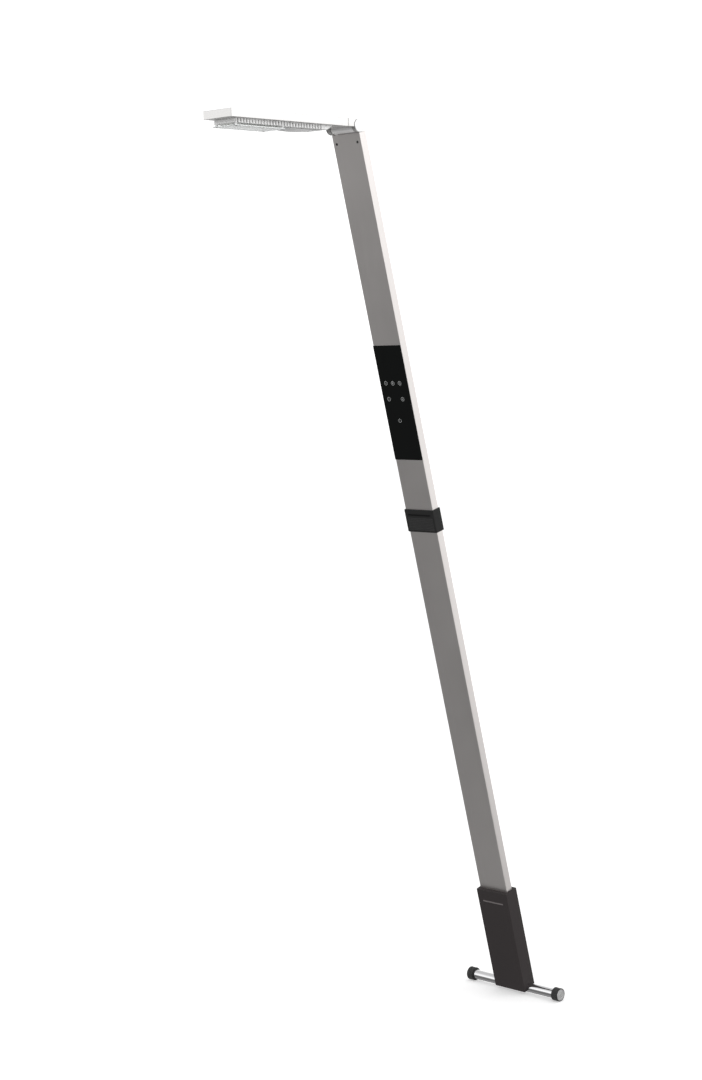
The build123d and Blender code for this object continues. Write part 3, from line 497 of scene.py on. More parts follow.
def chromed(name, base):
    """Polished chrome with a trace of polishing swirl."""
    finish = Finish(name, Metallic=1.0)
    swirl = finish.noise(700, (40, 1, 1), detail=3.0)
    smear = finish.noise(45, detail=4.0)
    # painted darker underneath, in place of the shadow that the bar would mirror
    height = finish.axis(2) - middle("foot_bar").z
    shadow = finish.add(
        "ShaderNodeMapRange", {"interpolation_type": "SMOOTHSTEP"}, Value=height, From_Min=0.0,
        From_Max=-CHROME_FADE, To_Min=0.0, To_Max=CHROME_DARK
    )
    tone = finish.mix(smear, scaled(base, 0.95), base)
    finish.set(Base_Color=finish.mix(shadow, tone, (0, 0, 0)))
    finish.set(Roughness=0.07 + smear * 0.05 + swirl * 0.04)
    finish.bump(swirl, 0.002 * MM)


def gloss_glass(name, base):
    """Gloss black cover glass with faint wipe marks."""
    finish = Finish(name, Specular_IOR_Level=0.25)
    smear = finish.noise(38, (1, 1, 3), detail=4.0, roughness=0.6)
    speck = finish.noise(900, detail=1.0)
    finish.set(Base_Color=finish.mix(smear, scaled(base, 0.8), scaled(base, 1.3)))
    finish.set(Roughness=0.10 + smear * 0.10)
    finish.bump(speck, 0.0008 * MM)


def printed(name, base):
    """Printed ink with a slightly uneven edge tone."""
    finish = Finish(name)
    grain = finish.noise(3000, detail=2.0)
    finish.set(Base_Color=finish.mix(grain, scaled(base, 0.9), scaled(base, 1.1)))
    finish.set(Roughness=0.45 + grain * 0.15)
    finish.bump(grain, 0.004 * MM)


def solder_mask(name, base, track, turn):
    """Solder mask over a faint maze of copper tracks."""
    finish = Finish(name, turn, Coat_Roughness=0.2)
    cells = finish.add(
        "ShaderNodeTexVoronoi", {"feature": "DISTANCE_TO_EDGE", "distance": "EUCLIDEAN"},
        Vector=finish.place, Scale=420.0, Randomness=0.35
    )
    tracks = finish.add("ShaderNodeValToRGB", {"stops": [(0.05, 1.0), (0.09, 0.0)]}, Fac=cells)
    grain = finish.noise(2400, detail=2.0)
    shade = finish.mix(grain, scaled(base, 0.9), scaled(base, 1.12))
    finish.set(Base_Color=finish.mix(tracks, shade, track))
    finish.set(Roughness=0.34 + grain * 0.12)
    finish.bump(tracks, 0.03 * MM)


def clear_plate(name, base):
    """Thin light plate, partly see-through, with a faint surface haze and grey cut edges."""
    finish = Finish(name, IOR=1.49, Metallic=0.55)
    haze = finish.noise(60, detail=3.0)
    scratch = finish.noise(2200, (12, 1, 1), detail=2.0)
    tone = finish.mix(haze, scaled(base, 1.02), scaled(base, 1.05))
    finish.set(Base_Color=finish.mix(finish.edge(), tone, scaled(base, 0.45)))
    finish.set(Alpha=0.74 + haze * 0.03 + finish.edge() * 0.2)
    finish.set(Roughness=0.20 + haze * 0.04 + scratch * 0.03)
    finish.bump(scratch, 0.001 * MM)


FRAME_WHITE = (0.82, 0.82, 0.80)


def phosphor_yellow(name, base):
    """An emitter's phosphor cup and white frame, giving a faint glow of their own."""
    finish = Finish(name, Emission_Strength=0.25)
    grain = finish.noise(4000, detail=2.0)
    tone = finish.mix(grain, scaled(base, 0.85), base)
    tone = finish.mix(finish.edge() < -0.5, FRAME_WHITE, tone)
    finish.set(Base_Color=tone)
    finish.set(Emission_Color=tone)
    finish.set(Roughness=0.35 + grain * 0.2)
    finish.bump(grain, 0.02 * MM)


def wrapped_cell(name, base):
    """Shrink wrap: slight waves and a darker seam tone."""
    finish = Finish(name, Coat_Weight=0.4, Coat_Roughness=0.15)
    wave = finish.noise(130, (1, 1, 4), detail=3.0)
    fine = finish.noise(1800, detail=2.0)
    finish.set(Base_Color=finish.mix(wave, scaled(base, 0.85), scaled(base, 1.15)))
    finish.set(Roughness=0.28 + fine * 0.15)
    finish.bump(wave * 0.8 + fine * 0.2, 0.08 * MM)


def foam(name, base):
    """Closed-cell foam."""
    finish = Finish(name)
    cells = finish.add(
        "ShaderNodeTexVoronoi", {"feature": "F1"}, Vector=finish.place, Scale=2600.0
    )
    finish.set(Base_Color=finish.mix(cells, scaled(base, 0.6), scaled(base, 1.5)))
    finish.set(Roughness=0.9 - cells * 0.1)
    finish.bump(cells, 0.1 * MM)


CORE_RATE = 6280


def ribbon(name, base, turn):
    """Flat ribbon cable with its cores side by side."""
    finish = Finish(name, turn)
    cores = finish.add("ShaderNodeMath", {"operation": "SINE"}, Value=finish.axis(0) * CORE_RATE)
    fine = finish.noise(1500, detail=2.0)
    finish.set(Base_Color=finish.mix(cores * 0.5 + 0.5, scaled(base, 0.7), scaled(base, 1.1)))
    finish.set(Roughness=0.5 + fine * 0.15)
    finish.bump(cores * 0.5 + 0.5, 0.15 * MM)


def make_finishes(colours):
    """A finish for each material slot, and for the panel's marks, the ledge and the base plate."""
    lean = MAST.to_3x3()
    tilt = HEAD.to_3x3()
    fine = (1, 60, 1)
    across = (60, 1, 1)
    anodised("mast_grey", colours.mast, 0.38, lean)
    anodised("hinge_silver", colours.barrel, 0.34, tilt, across, metal=0.25)
    # edge tone 0.25: the head's rounded edges painted dark, a painted shade line along its top edge
    anodised("head_silver", colours.head, 0.18, tilt, fine, edge_wear_and_shade=0.25)
    anodised("sink_silver", colours.sink, 0.48, tilt, (1, 8, 1), 0.015 * MM, metal=0.1)
    # edge tone 0.8: the base plate's rounded edges painted a little darker as painted shade
    anodised("floor_silver", colours.head, 0.35, tilt, fine, metal=0.1, edge_wear_and_shade=0.8)
    turned_metal("disc_silver", colours.disc, 0.28, middle("foot_bar"))
    turned_metal("shaft_steel", colours.disc, 0.22, HINGE)
    chromed("bar_chrome", colours.chrome)
    anodised("dark_steel", colours.steel, 0.36, tilt, (1, 1, 1), 0.01 * MM)
    anodised("contact_nickel", colours.nickel, 0.28, lean, (20, 1, 1))
    moulded("zinc_casting", scaled(colours.foot, 1.4), 0.5, 700, 0.06 * MM)
    anodised("cheek_black", colours.cheek, 0.40, tilt, (20, 1, 1))
    # edge tone 0.9: the housing's rounded edges painted a little darker as painted shade
    moulded("foot_black", colours.foot, 0.70, edge_wear_and_shade=0.9, gloss=0.17)
    # the ledge painted 2.4 times lighter than the housing: a painted highlight along its lit top edge
    moulded("ledge_black", scaled(colours.foot, 2.4), 0.45)
    # edge tone 0.9: the collar's rounded edges painted a little darker as painted shade
    moulded("collar_black", colours.collar, 0.65, edge_wear_and_shade=0.9, gloss=0.25)
    moulded("cradle_black", colours.collar, 0.6, 900, 0.04 * MM)
    moulded("washer_black", colours.collar, 0.4, 2500, 0.01 * MM)
    moulded("cover_grey", colours.cover, 0.30, 1800, 0.01 * MM, 1.1)
    # knurl crests painted twenty times lighter: painted highlight
    rubber("cap_rubber", scaled(colours.rubber, 0.7), 20.0)
    rubber("grip_rubber", scaled(colours.rubber, 0.85))
    gloss_glass("panel_glass", colours.glass)
    printed("panel_ink", colours.mark)
    solder_mask("board_green", colours.board, scaled(colours.board, 1.9), tilt)
    moulded("board_white", colours.carrier, 0.4, 2400, 0.01 * MM, 1.0)
    clear_plate("lens_clear", colours.light_plate)
    phosphor_yellow("led_yellow", colours.phosphor)
    wrapped_cell("cell_wrap", colours.wrap)
    foam("foam_black", colours.rubber)
    ribbon("loom_grey", colours.loom, lean)


# ---- Shapes ----

TINY = 0.01 * MM
PLENTY = 1.0
SMOOTH_ANGLE = math.radians(35)
EDGE_TURN = 0.985


def rectangle(width, height, radius, steps=4):
    """Outline of a rectangle with round corners, anticlockwise."""
    radius = max(radius, TINY)
    outline = []
    for corner in range(4):
        x = (width / 2 - radius) * (1 if corner in (0, 3) else -1)
        y = (height / 2 - radius) * (1 if corner in (0, 1) else -1)
        for step in range(steps + 1):
            angle = math.pi / 2 * (corner + step / steps)
            outline.append((x + radius * math.cos(angle), y + radius * math.sin(angle)))
    return outline


def circle(radius, segments=32):
    """Outline of a circle."""
    turns = [2 * math.pi * step / segments for step in range(segments)]
    return [(radius * math.cos(turn), radius * math.sin(turn)) for turn in turns]


def hexagon(flat, segments):
    """Outline of a hexagon, flat to middle, with as many points as a circle of these segments."""
    outline = []
    for step in range(segments):
        turn = 2 * math.pi * step / segments
        reach = flat / math.cos((turn + math.pi / 6) % (math.pi / 3) - math.pi / 6)
        outline.append((reach * math.cos(turn), reach * math.sin(turn)))
    return outline


def loft(rings, loop=False):
    """Closed mesh through rings of as many points each: capped at both ends, or joined end to end."""
    mesh = bmesh.new()
    rows = [[mesh.verts.new(point) for point in ring] for ring in rings]
    pairs = list(zip(rows, rows[1:]))
    if loop:
        pairs.append((rows[-1], rows[0]))
    else:
        mesh.faces.new(list(reversed(rows[0])))
        mesh.faces.new(rows[-1])
    for lower, upper in pairs:
        for index in range(len(lower)):
            after = (index + 1) % len(lower)
            mesh.faces.new((lower[index], lower[after], upper[after], upper[index]))
    bmesh.ops.recalc_face_normals(mesh, faces=mesh.faces)
    return mesh


def raised(outline, height):
    """An outline lifted to a height."""
    return [(x, y, height) for x, y in outline]


def rounded_rings(low, high, corner, edge_low, edge_high, steps=3):
    """Rings of a box about z with round upright corners and rounded lower and upper edges."""
    width = high.x - low.x
    depth = high.y - low.y
    rings = []
    for height, sign, edge in ((low.z, 1, edge_low), (high.z, -1, edge_high)):
        band = []
        for step in range(steps + 1):
            angle = math.pi / 2 * step / steps
            inset = edge * (1 - math.sin(angle))
            outline = rectangle(width - 2 * inset, depth - 2 * inset, corner - inset)
            band.append(raised(outline, height + sign * edge * (1 - math.cos(angle))))
        rings += band if sign > 0 else reversed(band)
    return rings


def slab(low, high, corner, edge_low, edge_high, steps=3):
    """Box between two corners with round upright corners and rounded lower and upper edges."""
    mesh = loft(rounded_rings(low, high, corner, edge_low, edge_high, steps))
    centre = ((low.x + high.x) / 2, (low.y + high.y) / 2, 0)
    bmesh.ops.translate(mesh, vec=centre, verts=mesh.verts)
    return mesh


def block(low, high):
    """Plain box between two corners, for cutting."""
    return slab(low, high, TINY, TINY, TINY, 1)


def turned(profile, segments=48, loop=False):
    """Lathe-turned mesh about z from (radius, height) pairs; a pair with "hex" makes a hexagon."""
    rings = []
    for radius, height, *form in profile:
        outline = hexagon(radius, segments) if form else circle(radius, segments)
        rings.append(raised(outline, height))
    return loft(rings, loop)


def prism(outline, low, high, edge=0.0):
    """Outline in y and z, drawn out along x from low to high, with bevelled edges."""
    mesh = bmesh.new()
    ends = [[mesh.verts.new((x, y, z)) for y, z in outline] for x in (low, high)]
    mesh.faces.new(ends[0])
    mesh.faces.new(list(reversed(ends[1])))
    for index in range(len(outline)):
        after = (index + 1) % len(outline)
        mesh.faces.new((ends[0][index], ends[1][index], ends[1][after], ends[0][after]))
    bmesh.ops.recalc_face_normals(mesh, faces=mesh.faces)
    if edge:
        sharp = [line for line in mesh.edges if line.calc_face_angle(0) > SMOOTH_ANGLE]
        bmesh.ops.bevel(mesh, geom=sharp, offset=edge, segments=3, profile=0.5, affect="EDGES")
    return mesh


def moved(mesh, place):
    """The mesh, moved to a place."""
    bmesh.ops.transform(mesh, matrix=place, verts=mesh.verts)
    return mesh


def mirrored(mesh):
    """The mesh, mirrored in z and turned right side out."""
    moved(mesh, Matrix.Scale(-1, 4, (0, 0, 1)))
    bmesh.ops.recalc_face_normals(mesh, faces=mesh.faces)
    return mesh


def joined(meshes):
    """Several separate meshes as one."""
    whole = bmesh.new()
    for mesh in meshes:
        data = bpy.data.meshes.new("joined")
        mesh.to_mesh(data)
        mesh.free()
        whole.from_mesh(data)
        bpy.data.meshes.remove(data)
    return whole


def scratch_object(name, mesh):
    """A passing object that holds a mesh while Blender works on it."""
    data = bpy.data.meshes.new(name)
    mesh.to_mesh(data)
    thing = bpy.data.objects.new(name, data)
    bpy.context.scene.collection.objects.link(thing)
    return thing


def evaluated_mesh(thing):
    """The mesh that an object's modifiers make."""
    graph = bpy.context.evaluated_depsgraph_get()
    graph.update()
    return bpy.data.meshes.new_from_object(thing.evaluated_get(graph))


def drop(thing):
    """Removes a passing object and its mesh."""
    data = thing.data
    bpy.data.objects.remove(thing)
    bpy.data.meshes.remove(data)


def combine(mesh, tools, operation="DIFFERENCE"):
    """Cuts tools out of a closed mesh, or adds them to it, one after another."""
    for tool in tools:
        target = scratch_object("target", mesh)
        other = scratch_object("tool", tool)
        modifier = target.modifiers.new("combine", "BOOLEAN")
        modifier.solver = "EXACT"
        modifier.operation = operation
        modifier.object = other
        result = evaluated_mesh(target)
        mesh.free()
        tool.free()
        mesh = bmesh.new()
        mesh.from_mesh(result)
        bpy.data.meshes.remove(result)
        drop(target)
        drop(other)
    return mesh


def round_cutter(radius, low, high, centre=(0, 0), segments=32):
    """Cylinder along z for cutting a round hole."""
    mesh = turned([(radius, low), (radius, high)], segments)
    bmesh.ops.translate(mesh, vec=(centre[0], centre[1], 0), verts=mesh.verts)
    return mesh


# turns z of a turned mesh to the front, the back, the side or down
TO_FRONT = Matrix.Rotation(math.pi / 2, 4, "X")
TO_BACK = Matrix.Rotation(-math.pi / 2, 4, "X")
TO_SIDE = Matrix.Rotation(math.pi / 2, 4, "Y")
TO_UNDER = Matrix.Rotation(math.pi, 4, "X")


def drill(spot, radius, start, reach, way):
    """Cutter of a round hole about a spot on the mast's or the foot's front or back."""
    hole = round_cutter(radius, start, reach)
    return moved(hole, Matrix.Translation((spot.x, 0, spot.z)) @ way)


ROUND_FROM = 0.1
ROUND_TO = 0.9


def tag_edges(data, round_piece, recess=None):
    """Marks roundings 1, for a finish's rubbed edges, painted edge shade and painted highlights, and faces in a
    recess's box -1.
    """
    marks = data.attributes.new("edge", "FLOAT", "FACE")
    values = []
    for face in data.polygons:
        steep = abs(face.normal.z)
        if round_piece:
            values.append(1.0 if ROUND_FROM < steep < ROUND_TO else 0.0)
        else:
            values.append(1.0 if max(abs(part) for part in face.normal) < EDGE_TURN else 0.0)
        if recess and all(low < at < high for low, at, high in zip(recess[0], face.center, recess[1])):
            values[-1] = -1.0
    marks.data.foreach_set("value", values)


def weigh_normals(thing):
    """Keeps flats flat beside their roundings: normals follow the larger faces."""
    modifier = thing.modifiers.new("weigh", "WEIGHTED_NORMAL")
    modifier.keep_sharp = True
    take_mesh(thing, evaluated_mesh(thing))


def take_mesh(thing, data):
    """Swaps an object's mesh for the one that its modifiers made."""
    start = thing.data
    thing.modifiers.clear()
    thing.data = data
    data.name = thing.name
    bpy.data.meshes.remove(start)


def finish_piece(thing, place, material, nodes, round_piece=False, recess=None):
    """Marks, places, shades and colours a mesh object, and hangs it on its nodes' body."""
    data = thing.data
    if "edge" not in data.attributes:
        tag_edges(data, round_piece, recess)
    data.transform(place)
    data.shade_smooth()
    data.set_sharp_from_angle(angle=SMOOTH_ANGLE)
    data.materials.clear()
    data.materials.append(material)
    weigh_normals(thing)
    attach(thing, BODY_OF[nodes[0]])


def piece(name, mesh, place, *nodes, finish=None, round_piece=False, recess=None, replace=True):
    """Makes a finished piece of the lamp from a mesh in a place's axes."""
    data = bpy.data.meshes.new(name)
    mesh.to_mesh(data)
    mesh.free()
    thing = bpy.data.objects.new(name, data)
    bpy.context.scene.collection.objects.link(thing)
    material = FINISHES[finish or SLOT_OF[nodes[0]]]
    finish_piece(thing, place, material, nodes, round_piece, recess)
    if replace:
        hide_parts(*nodes)


def dress(node):
    """Gives a carried-over CAD node its finish."""
    data = NODES[node].data
    data.materials.clear()
    data.materials.append(FINISHES[SLOT_OF[node]])


# ---- Geometry Nodes ----


def geometry_tree(name, inputs):
    """Starts a geometry tree with named inputs; returns its nodes and its inputs by name."""
    tree = bpy.data.node_groups.new(name, "GeometryNodeTree")
    tree.is_modifier = True
    tree.interface.new_socket("Geometry", in_out="INPUT", socket_type="NodeSocketGeometry")
    tree.interface.new_socket("Geometry", in_out="OUTPUT", socket_type="NodeSocketGeometry")
    for label, kind in inputs:
        tree.interface.new_socket(label, in_out="INPUT", socket_type="NodeSocket" + kind)
    source = tree.nodes.new("NodeGroupInput")
    wires = {socket.name: Wire(tree, socket) for socket in source.outputs if socket.name}
    return Nodes(tree), wires


def end_tree(nodes, geometry, material):
    """Ends a tree in Realize Instances and Set Material."""
    real = nodes.add("GeometryNodeRealizeInstances", Geometry=geometry)
    coloured = nodes.add("GeometryNodeSetMaterial", Geometry=real, Material=material)
    output = nodes.tree.nodes.new("NodeGroupOutput")
    nodes.tree.links.new(coloured.socket, output.inputs[0])
    return nodes.tree


def places_tree():
    """One copy of a piece on every point."""
    nodes, wires = geometry_tree("Copies on points", [("Piece", "Object"), ("Material", "Material")])
    master = nodes.add("GeometryNodeObjectInfo", output=4, Object=wires["Piece"])
    copies = nodes.add("GeometryNodeInstanceOnPoints", Points=wires["Geometry"], Instance=master)
    return end_tree(nodes, copies, wires["Material"])


def rows_tree():
    """Rows and columns of one piece."""
    nodes, wires = geometry_tree(
        "Rows and columns",
        [
            ("Piece", "Object"), ("Columns", "Int"), ("Column pitch", "Float"), ("Rows", "Int"),
            ("Row pitch", "Float"), ("Material", "Material"),
        ],
    )
    grid = nodes.add(
        "GeometryNodeMeshGrid",
        Size_X=(wires["Columns"] - 1) * wires["Column pitch"],
        Size_Y=(wires["Rows"] - 1) * wires["Row pitch"],
        Vertices_X=wires["Columns"], Vertices_Y=wires["Rows"],
    )
    master = nodes.add("GeometryNodeObjectInfo", output=4, Object=wires["Piece"])
    copies = nodes.add("GeometryNodeInstanceOnPoints", Points=grid, Instance=master)
    return end_tree(nodes, copies, wires["Material"])


def slots_tree():
    """A block with two facing rows of slots cut into its sides."""
    nodes, wires = geometry_tree(
        "Slots between fins",
        [
            ("Cutter", "Object"), ("Slots", "Int"), ("Pitch", "Float"), ("Half width", "Float"),
            ("Middle", "Float"), ("Rail size", "Vector"), ("Rail middle", "Vector"),
            ("Material", "Material"),
        ],
    )
    row = nodes.add(
        "GeometryNodeMeshGrid", Size_X=wires["Half width"] * 2,
        Size_Y=(wires["Slots"] - 1) * wires["Pitch"], Vertices_X=2, Vertices_Y=wires["Slots"],
    )
    shift = nodes.add("ShaderNodeCombineXYZ", Y=wires["Middle"])
    row = nodes.add("GeometryNodeSetPosition", Geometry=row, Offset=shift)
    side = nodes.add("ShaderNodeSeparateXYZ", Vector=nodes.add("GeometryNodeInputPosition"))
    turn = nodes.add("ShaderNodeCombineXYZ", Z=(side < 0) * math.pi)
    master = nodes.add("GeometryNodeObjectInfo", output=4, Object=wires["Cutter"])
    copies = nodes.add("GeometryNodeInstanceOnPoints", Points=row, Instance=master, Rotation=turn)
    tools = nodes.add("GeometryNodeRealizeInstances", Geometry=copies)
    cut = nodes.add(
        "GeometryNodeMeshBoolean", {"operation": "DIFFERENCE", "solver": "EXACT"},
        Mesh_1=wires["Geometry"], Mesh_2=tools
    )
    rail = nodes.add("GeometryNodeMeshCube", Size=wires["Rail size"])
    rail = nodes.add("GeometryNodeSetPosition", Geometry=rail, Offset=wires["Rail middle"])
    filled = nodes.add("GeometryNodeMeshBoolean", {"operation": "UNION", "solver": "EXACT"}, Mesh=cut)
    nodes.tree.links.new(rail.socket, nodes.find(filled.socket.node, "Mesh"))
    return end_tree(nodes, filled, wires["Material"])


def knurl_tree():
    """Diamond knurl pressed into the band of a turned cap, about its z."""
    nodes, wires = geometry_tree(
        "Diamond knurl",
        [("Ridges", "Int"), ("Depth", "Float"), ("Pitch", "Float"), ("Material", "Material")],
    )
    position = nodes.add("GeometryNodeInputPosition")
    x = nodes.add("ShaderNodeSeparateXYZ", output=0, Vector=position)
    y = nodes.add("ShaderNodeSeparateXYZ", output=1, Vector=position)
    z = nodes.add("ShaderNodeSeparateXYZ", output=2, Vector=position)
    turn = nodes.add("ShaderNodeMath", {"operation": "ARCTAN2"}, Value=y, Value_001=x) * wires["Ridges"]
    climb = z * (2 * math.pi) / wires["Pitch"]
    left = nodes.add("ShaderNodeMath", {"operation": "COSINE"}, Value=turn + climb)
    right = nodes.add("ShaderNodeMath", {"operation": "COSINE"}, Value=turn - climb)
    low = nodes.add("ShaderNodeMath", {"operation": "MINIMUM"}, Value=left, Value_001=right)
    band = nodes.add("GeometryNodeInputNamedAttribute", {"data_type": "FLOAT"}, Name="band")
    press = (low * 0.5 - 0.5) * wires["Depth"] * band
    radius = (x * x + y * y) ** 0.5
    offset = nodes.add("ShaderNodeCombineXYZ", X=x / radius * press, Y=y / radius * press)
    marked = nodes.add(
        "GeometryNodeStoreNamedAttribute", {"data_type": "FLOAT", "domain": "FACE"},
        Geometry=wires["Geometry"], Name="edge", Value=(low * 0.5 + 0.5) * band
    )
    pressed = nodes.add("GeometryNodeSetPosition", Geometry=marked, Offset=offset)
    return end_tree(nodes, pressed, wires["Material"])


RIB_STEPS = 12


def ribs_tree():
    """A pad whose front face rises in rounded ribs across it."""
    nodes, wires = geometry_tree(
        "Ribbed pad",
        [
            ("Width", "Float"), ("Thickness", "Float"), ("Height", "Float"), ("Ribs", "Int"),
            ("Rise", "Float"), ("Material", "Material"),
        ],
    )
    cube_size = nodes.add(
        "ShaderNodeCombineXYZ", X=wires["Width"], Y=wires["Thickness"], Z=wires["Height"]
    )
    cube = nodes.add(
        "GeometryNodeMeshCube", Size=cube_size, Vertices_X=2, Vertices_Y=2,
        Vertices_Z=wires["Ribs"] * RIB_STEPS + 1
    )
    position = nodes.add("GeometryNodeInputPosition")
    y = nodes.add("ShaderNodeSeparateXYZ", output=1, Vector=position)
    z = nodes.add("ShaderNodeSeparateXYZ", output=2, Vector=position)
    phase = (z / wires["Height"] + 0.5) * wires["Ribs"] * (2 * math.pi)
    wave = nodes.add("ShaderNodeMath", {"operation": "COSINE"}, Value=phase) * -1.0
    crest = nodes.add("ShaderNodeMath", {"operation": "MAXIMUM"}, Value=wave, Value_001=0.0) ** 0.5
    offset = nodes.add("ShaderNodeCombineXYZ", Y=crest * wires["Rise"] * (y < 0) * -1.0)
    ribbed = nodes.add("GeometryNodeSetPosition", Geometry=cube, Offset=offset)
    return end_tree(nodes, ribbed, wires["Material"])


def grow(name, mesh, tree, inputs, place, *nodes, round_piece=False):
    """A finished piece made by a geometry tree from a starting mesh."""
    thing = scratch_object(name, mesh)
    mesh.free()
    material = FINISHES[SLOT_OF[nodes[0]]]
    modifier = thing.modifiers.new(tree.name, "NODES")
    modifier.node_group = tree
    for item in tree.interface.items_tree:
        if item.in_out == "INPUT" and item.name in inputs:
            modifier[item.identifier] = inputs[item.name]
        elif item.in_out == "INPUT" and item.name == "Material":
            modifier[item.identifier] = material
    take_mesh(thing, evaluated_mesh(thing))
    finish_piece(thing, place, material, nodes, round_piece)
    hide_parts(*nodes)


def copies(name, master, spots, place, *nodes):
    """One copy of a master mesh on each spot, as one finished piece."""
    tool = scratch_object("master", master)
    tag_edges(tool.data, False)
    points = bmesh.new()
    for spot in spots:
        points.verts.new(spot)
    tree = bpy.data.node_groups.get("Copies on points") or places_tree()
    grow(name, points, tree, {"Piece": tool}, place, *nodes)
    master.free()
    drop(tool)


def screw(head_radius, head_height, shank_radius, shank_length, flat, recess):
    """Socket-head screw along z: its head's top at 0, its shank below, with a hexagonal recess."""
    rim = 0.12 * head_height
    return turned(
        [
            (shank_radius * 0.7, -head_height - shank_length),
            (shank_radius, -head_height - shank_length + 0.3 * shank_radius),
            (shank_radius, -head_height),
            (head_radius - rim / 2, -head_height),
            (head_radius, -head_height + rim / 2),
            (head_radius, -rim),
            (head_radius - 0.3 * rim, -0.3 * rim),
            (head_radius - rim, 0.0),
            (flat * 1.08, 0.0, "hex"),
            (flat, -0.08 * MM, "hex"),
            (flat, -recess, "hex"),
        ],
        24,
    )


def pins(node, place):
    """Middle and radius of each separate round piece of a CAD node."""
    return [((low + high) / 2, (high.x - low.x) / 2) for low, high in solids(node, place)]


def socket_screws(name, node, place, way, head, shank, flat, recess):
    """A socket screw in place of each solid of a node, its head turned one way.

    The head's height and the recess are lengths; shank and flat are shares of the head's radius.
    """
    low, high = solids(node, place)[0]
    middles = [spot for spot, size in pins(node, place)]
    radius = (high.x - low.x) / 2
    if way is TO_UNDER:
        reach = high.z - low.z
        spots = [Vector((spot.x, spot.y, low.z)) for spot in middles]
    else:
        reach = high.y - low.y
        face = low.y if way is TO_FRONT else high.y
        spots = [Vector((spot.x, face, spot.z)) for spot in middles]
    master = screw(radius, head, shank * radius, reach - head, flat * radius, recess)
    copies(name, moved(master, way), spots, place, node)


def of_class(name):
    """Name under which Blender calls an operator of the lamp."""
    return "lamp." + name


# ---- Mast and hinge ----

HOLE_FIT = 0.06 * MM
HEAD_FIT = 0.05 * MM
INNER_CORNER = 0.4 * MM
SHAFT_BORE = 4.02 * MM
WASHER_BORE = 4.05 * MM
BARREL_BORE = 4.06 * MM


class LAMP_OT_mast(Operator):
    """Builds the extruded mast, with its window and screw holes"""

    bl_idname = of_class("mast")
    bl_label = "Mast"

    def execute(self, context):
        sizes = context.scene.lamp_sizes
        low, high = local_box("mast_tube", MAST)
        width = high.x - low.x
        depth = high.y - low.y
        wall = 2 * sizes.mast_wall
        end = sizes.mast_end
        outer = rectangle(width, depth, sizes.mast_corner)
        eased = rectangle(width - 2 * end, depth - 2 * end, sizes.mast_corner - end)
        inner = rectangle(width - wall, depth - wall, INNER_CORNER)
        tube = loft(
            [
                raised(inner, low.z), raised(eased, low.z), raised(outer, low.z + end),
                raised(outer, high.z - end), raised(eased, high.z), raised(inner, high.z),
            ],
            loop=True,
        )
        window_low, window_high = local_box("touch_spacer", MAST)
        margin = Vector((0.5 * MM, 0, 1.0 * MM))
        corner = 3 * MM
        cutters = [prism_window(window_low - margin, window_high + margin, corner, low.y - wall, 0)]
        for name, way in (("hinge_screws", TO_FRONT), ("mast_screws", TO_BACK)):
            for spot, radius in pins(name, MAST):
                cutters.append(drill(spot, radius + HOLE_FIT, 0, depth, way))
        piece("mast_extrusion", combine(tube, cutters), MAST, "mast_tube")
        return {"FINISHED"}


def prism_window(low, high, radius, front, back):
    """Cutter of a window with round corners through a front or back wall, from front to back in y."""
    outline = rectangle(high.x - low.x, high.z - low.z, radius)
    mesh = loft([raised(outline, front), raised(outline, back)])
    centre = Matrix.Translation(((low.x + high.x) / 2, 0, (low.z + high.z) / 2))
    swing = Matrix(((1, 0, 0, 0), (0, 0, 1, 0), (0, 1, 0, 0), (0, 0, 0, 1)))
    moved(mesh, centre @ swing)
    bmesh.ops.recalc_face_normals(mesh, faces=mesh.faces)
    return mesh


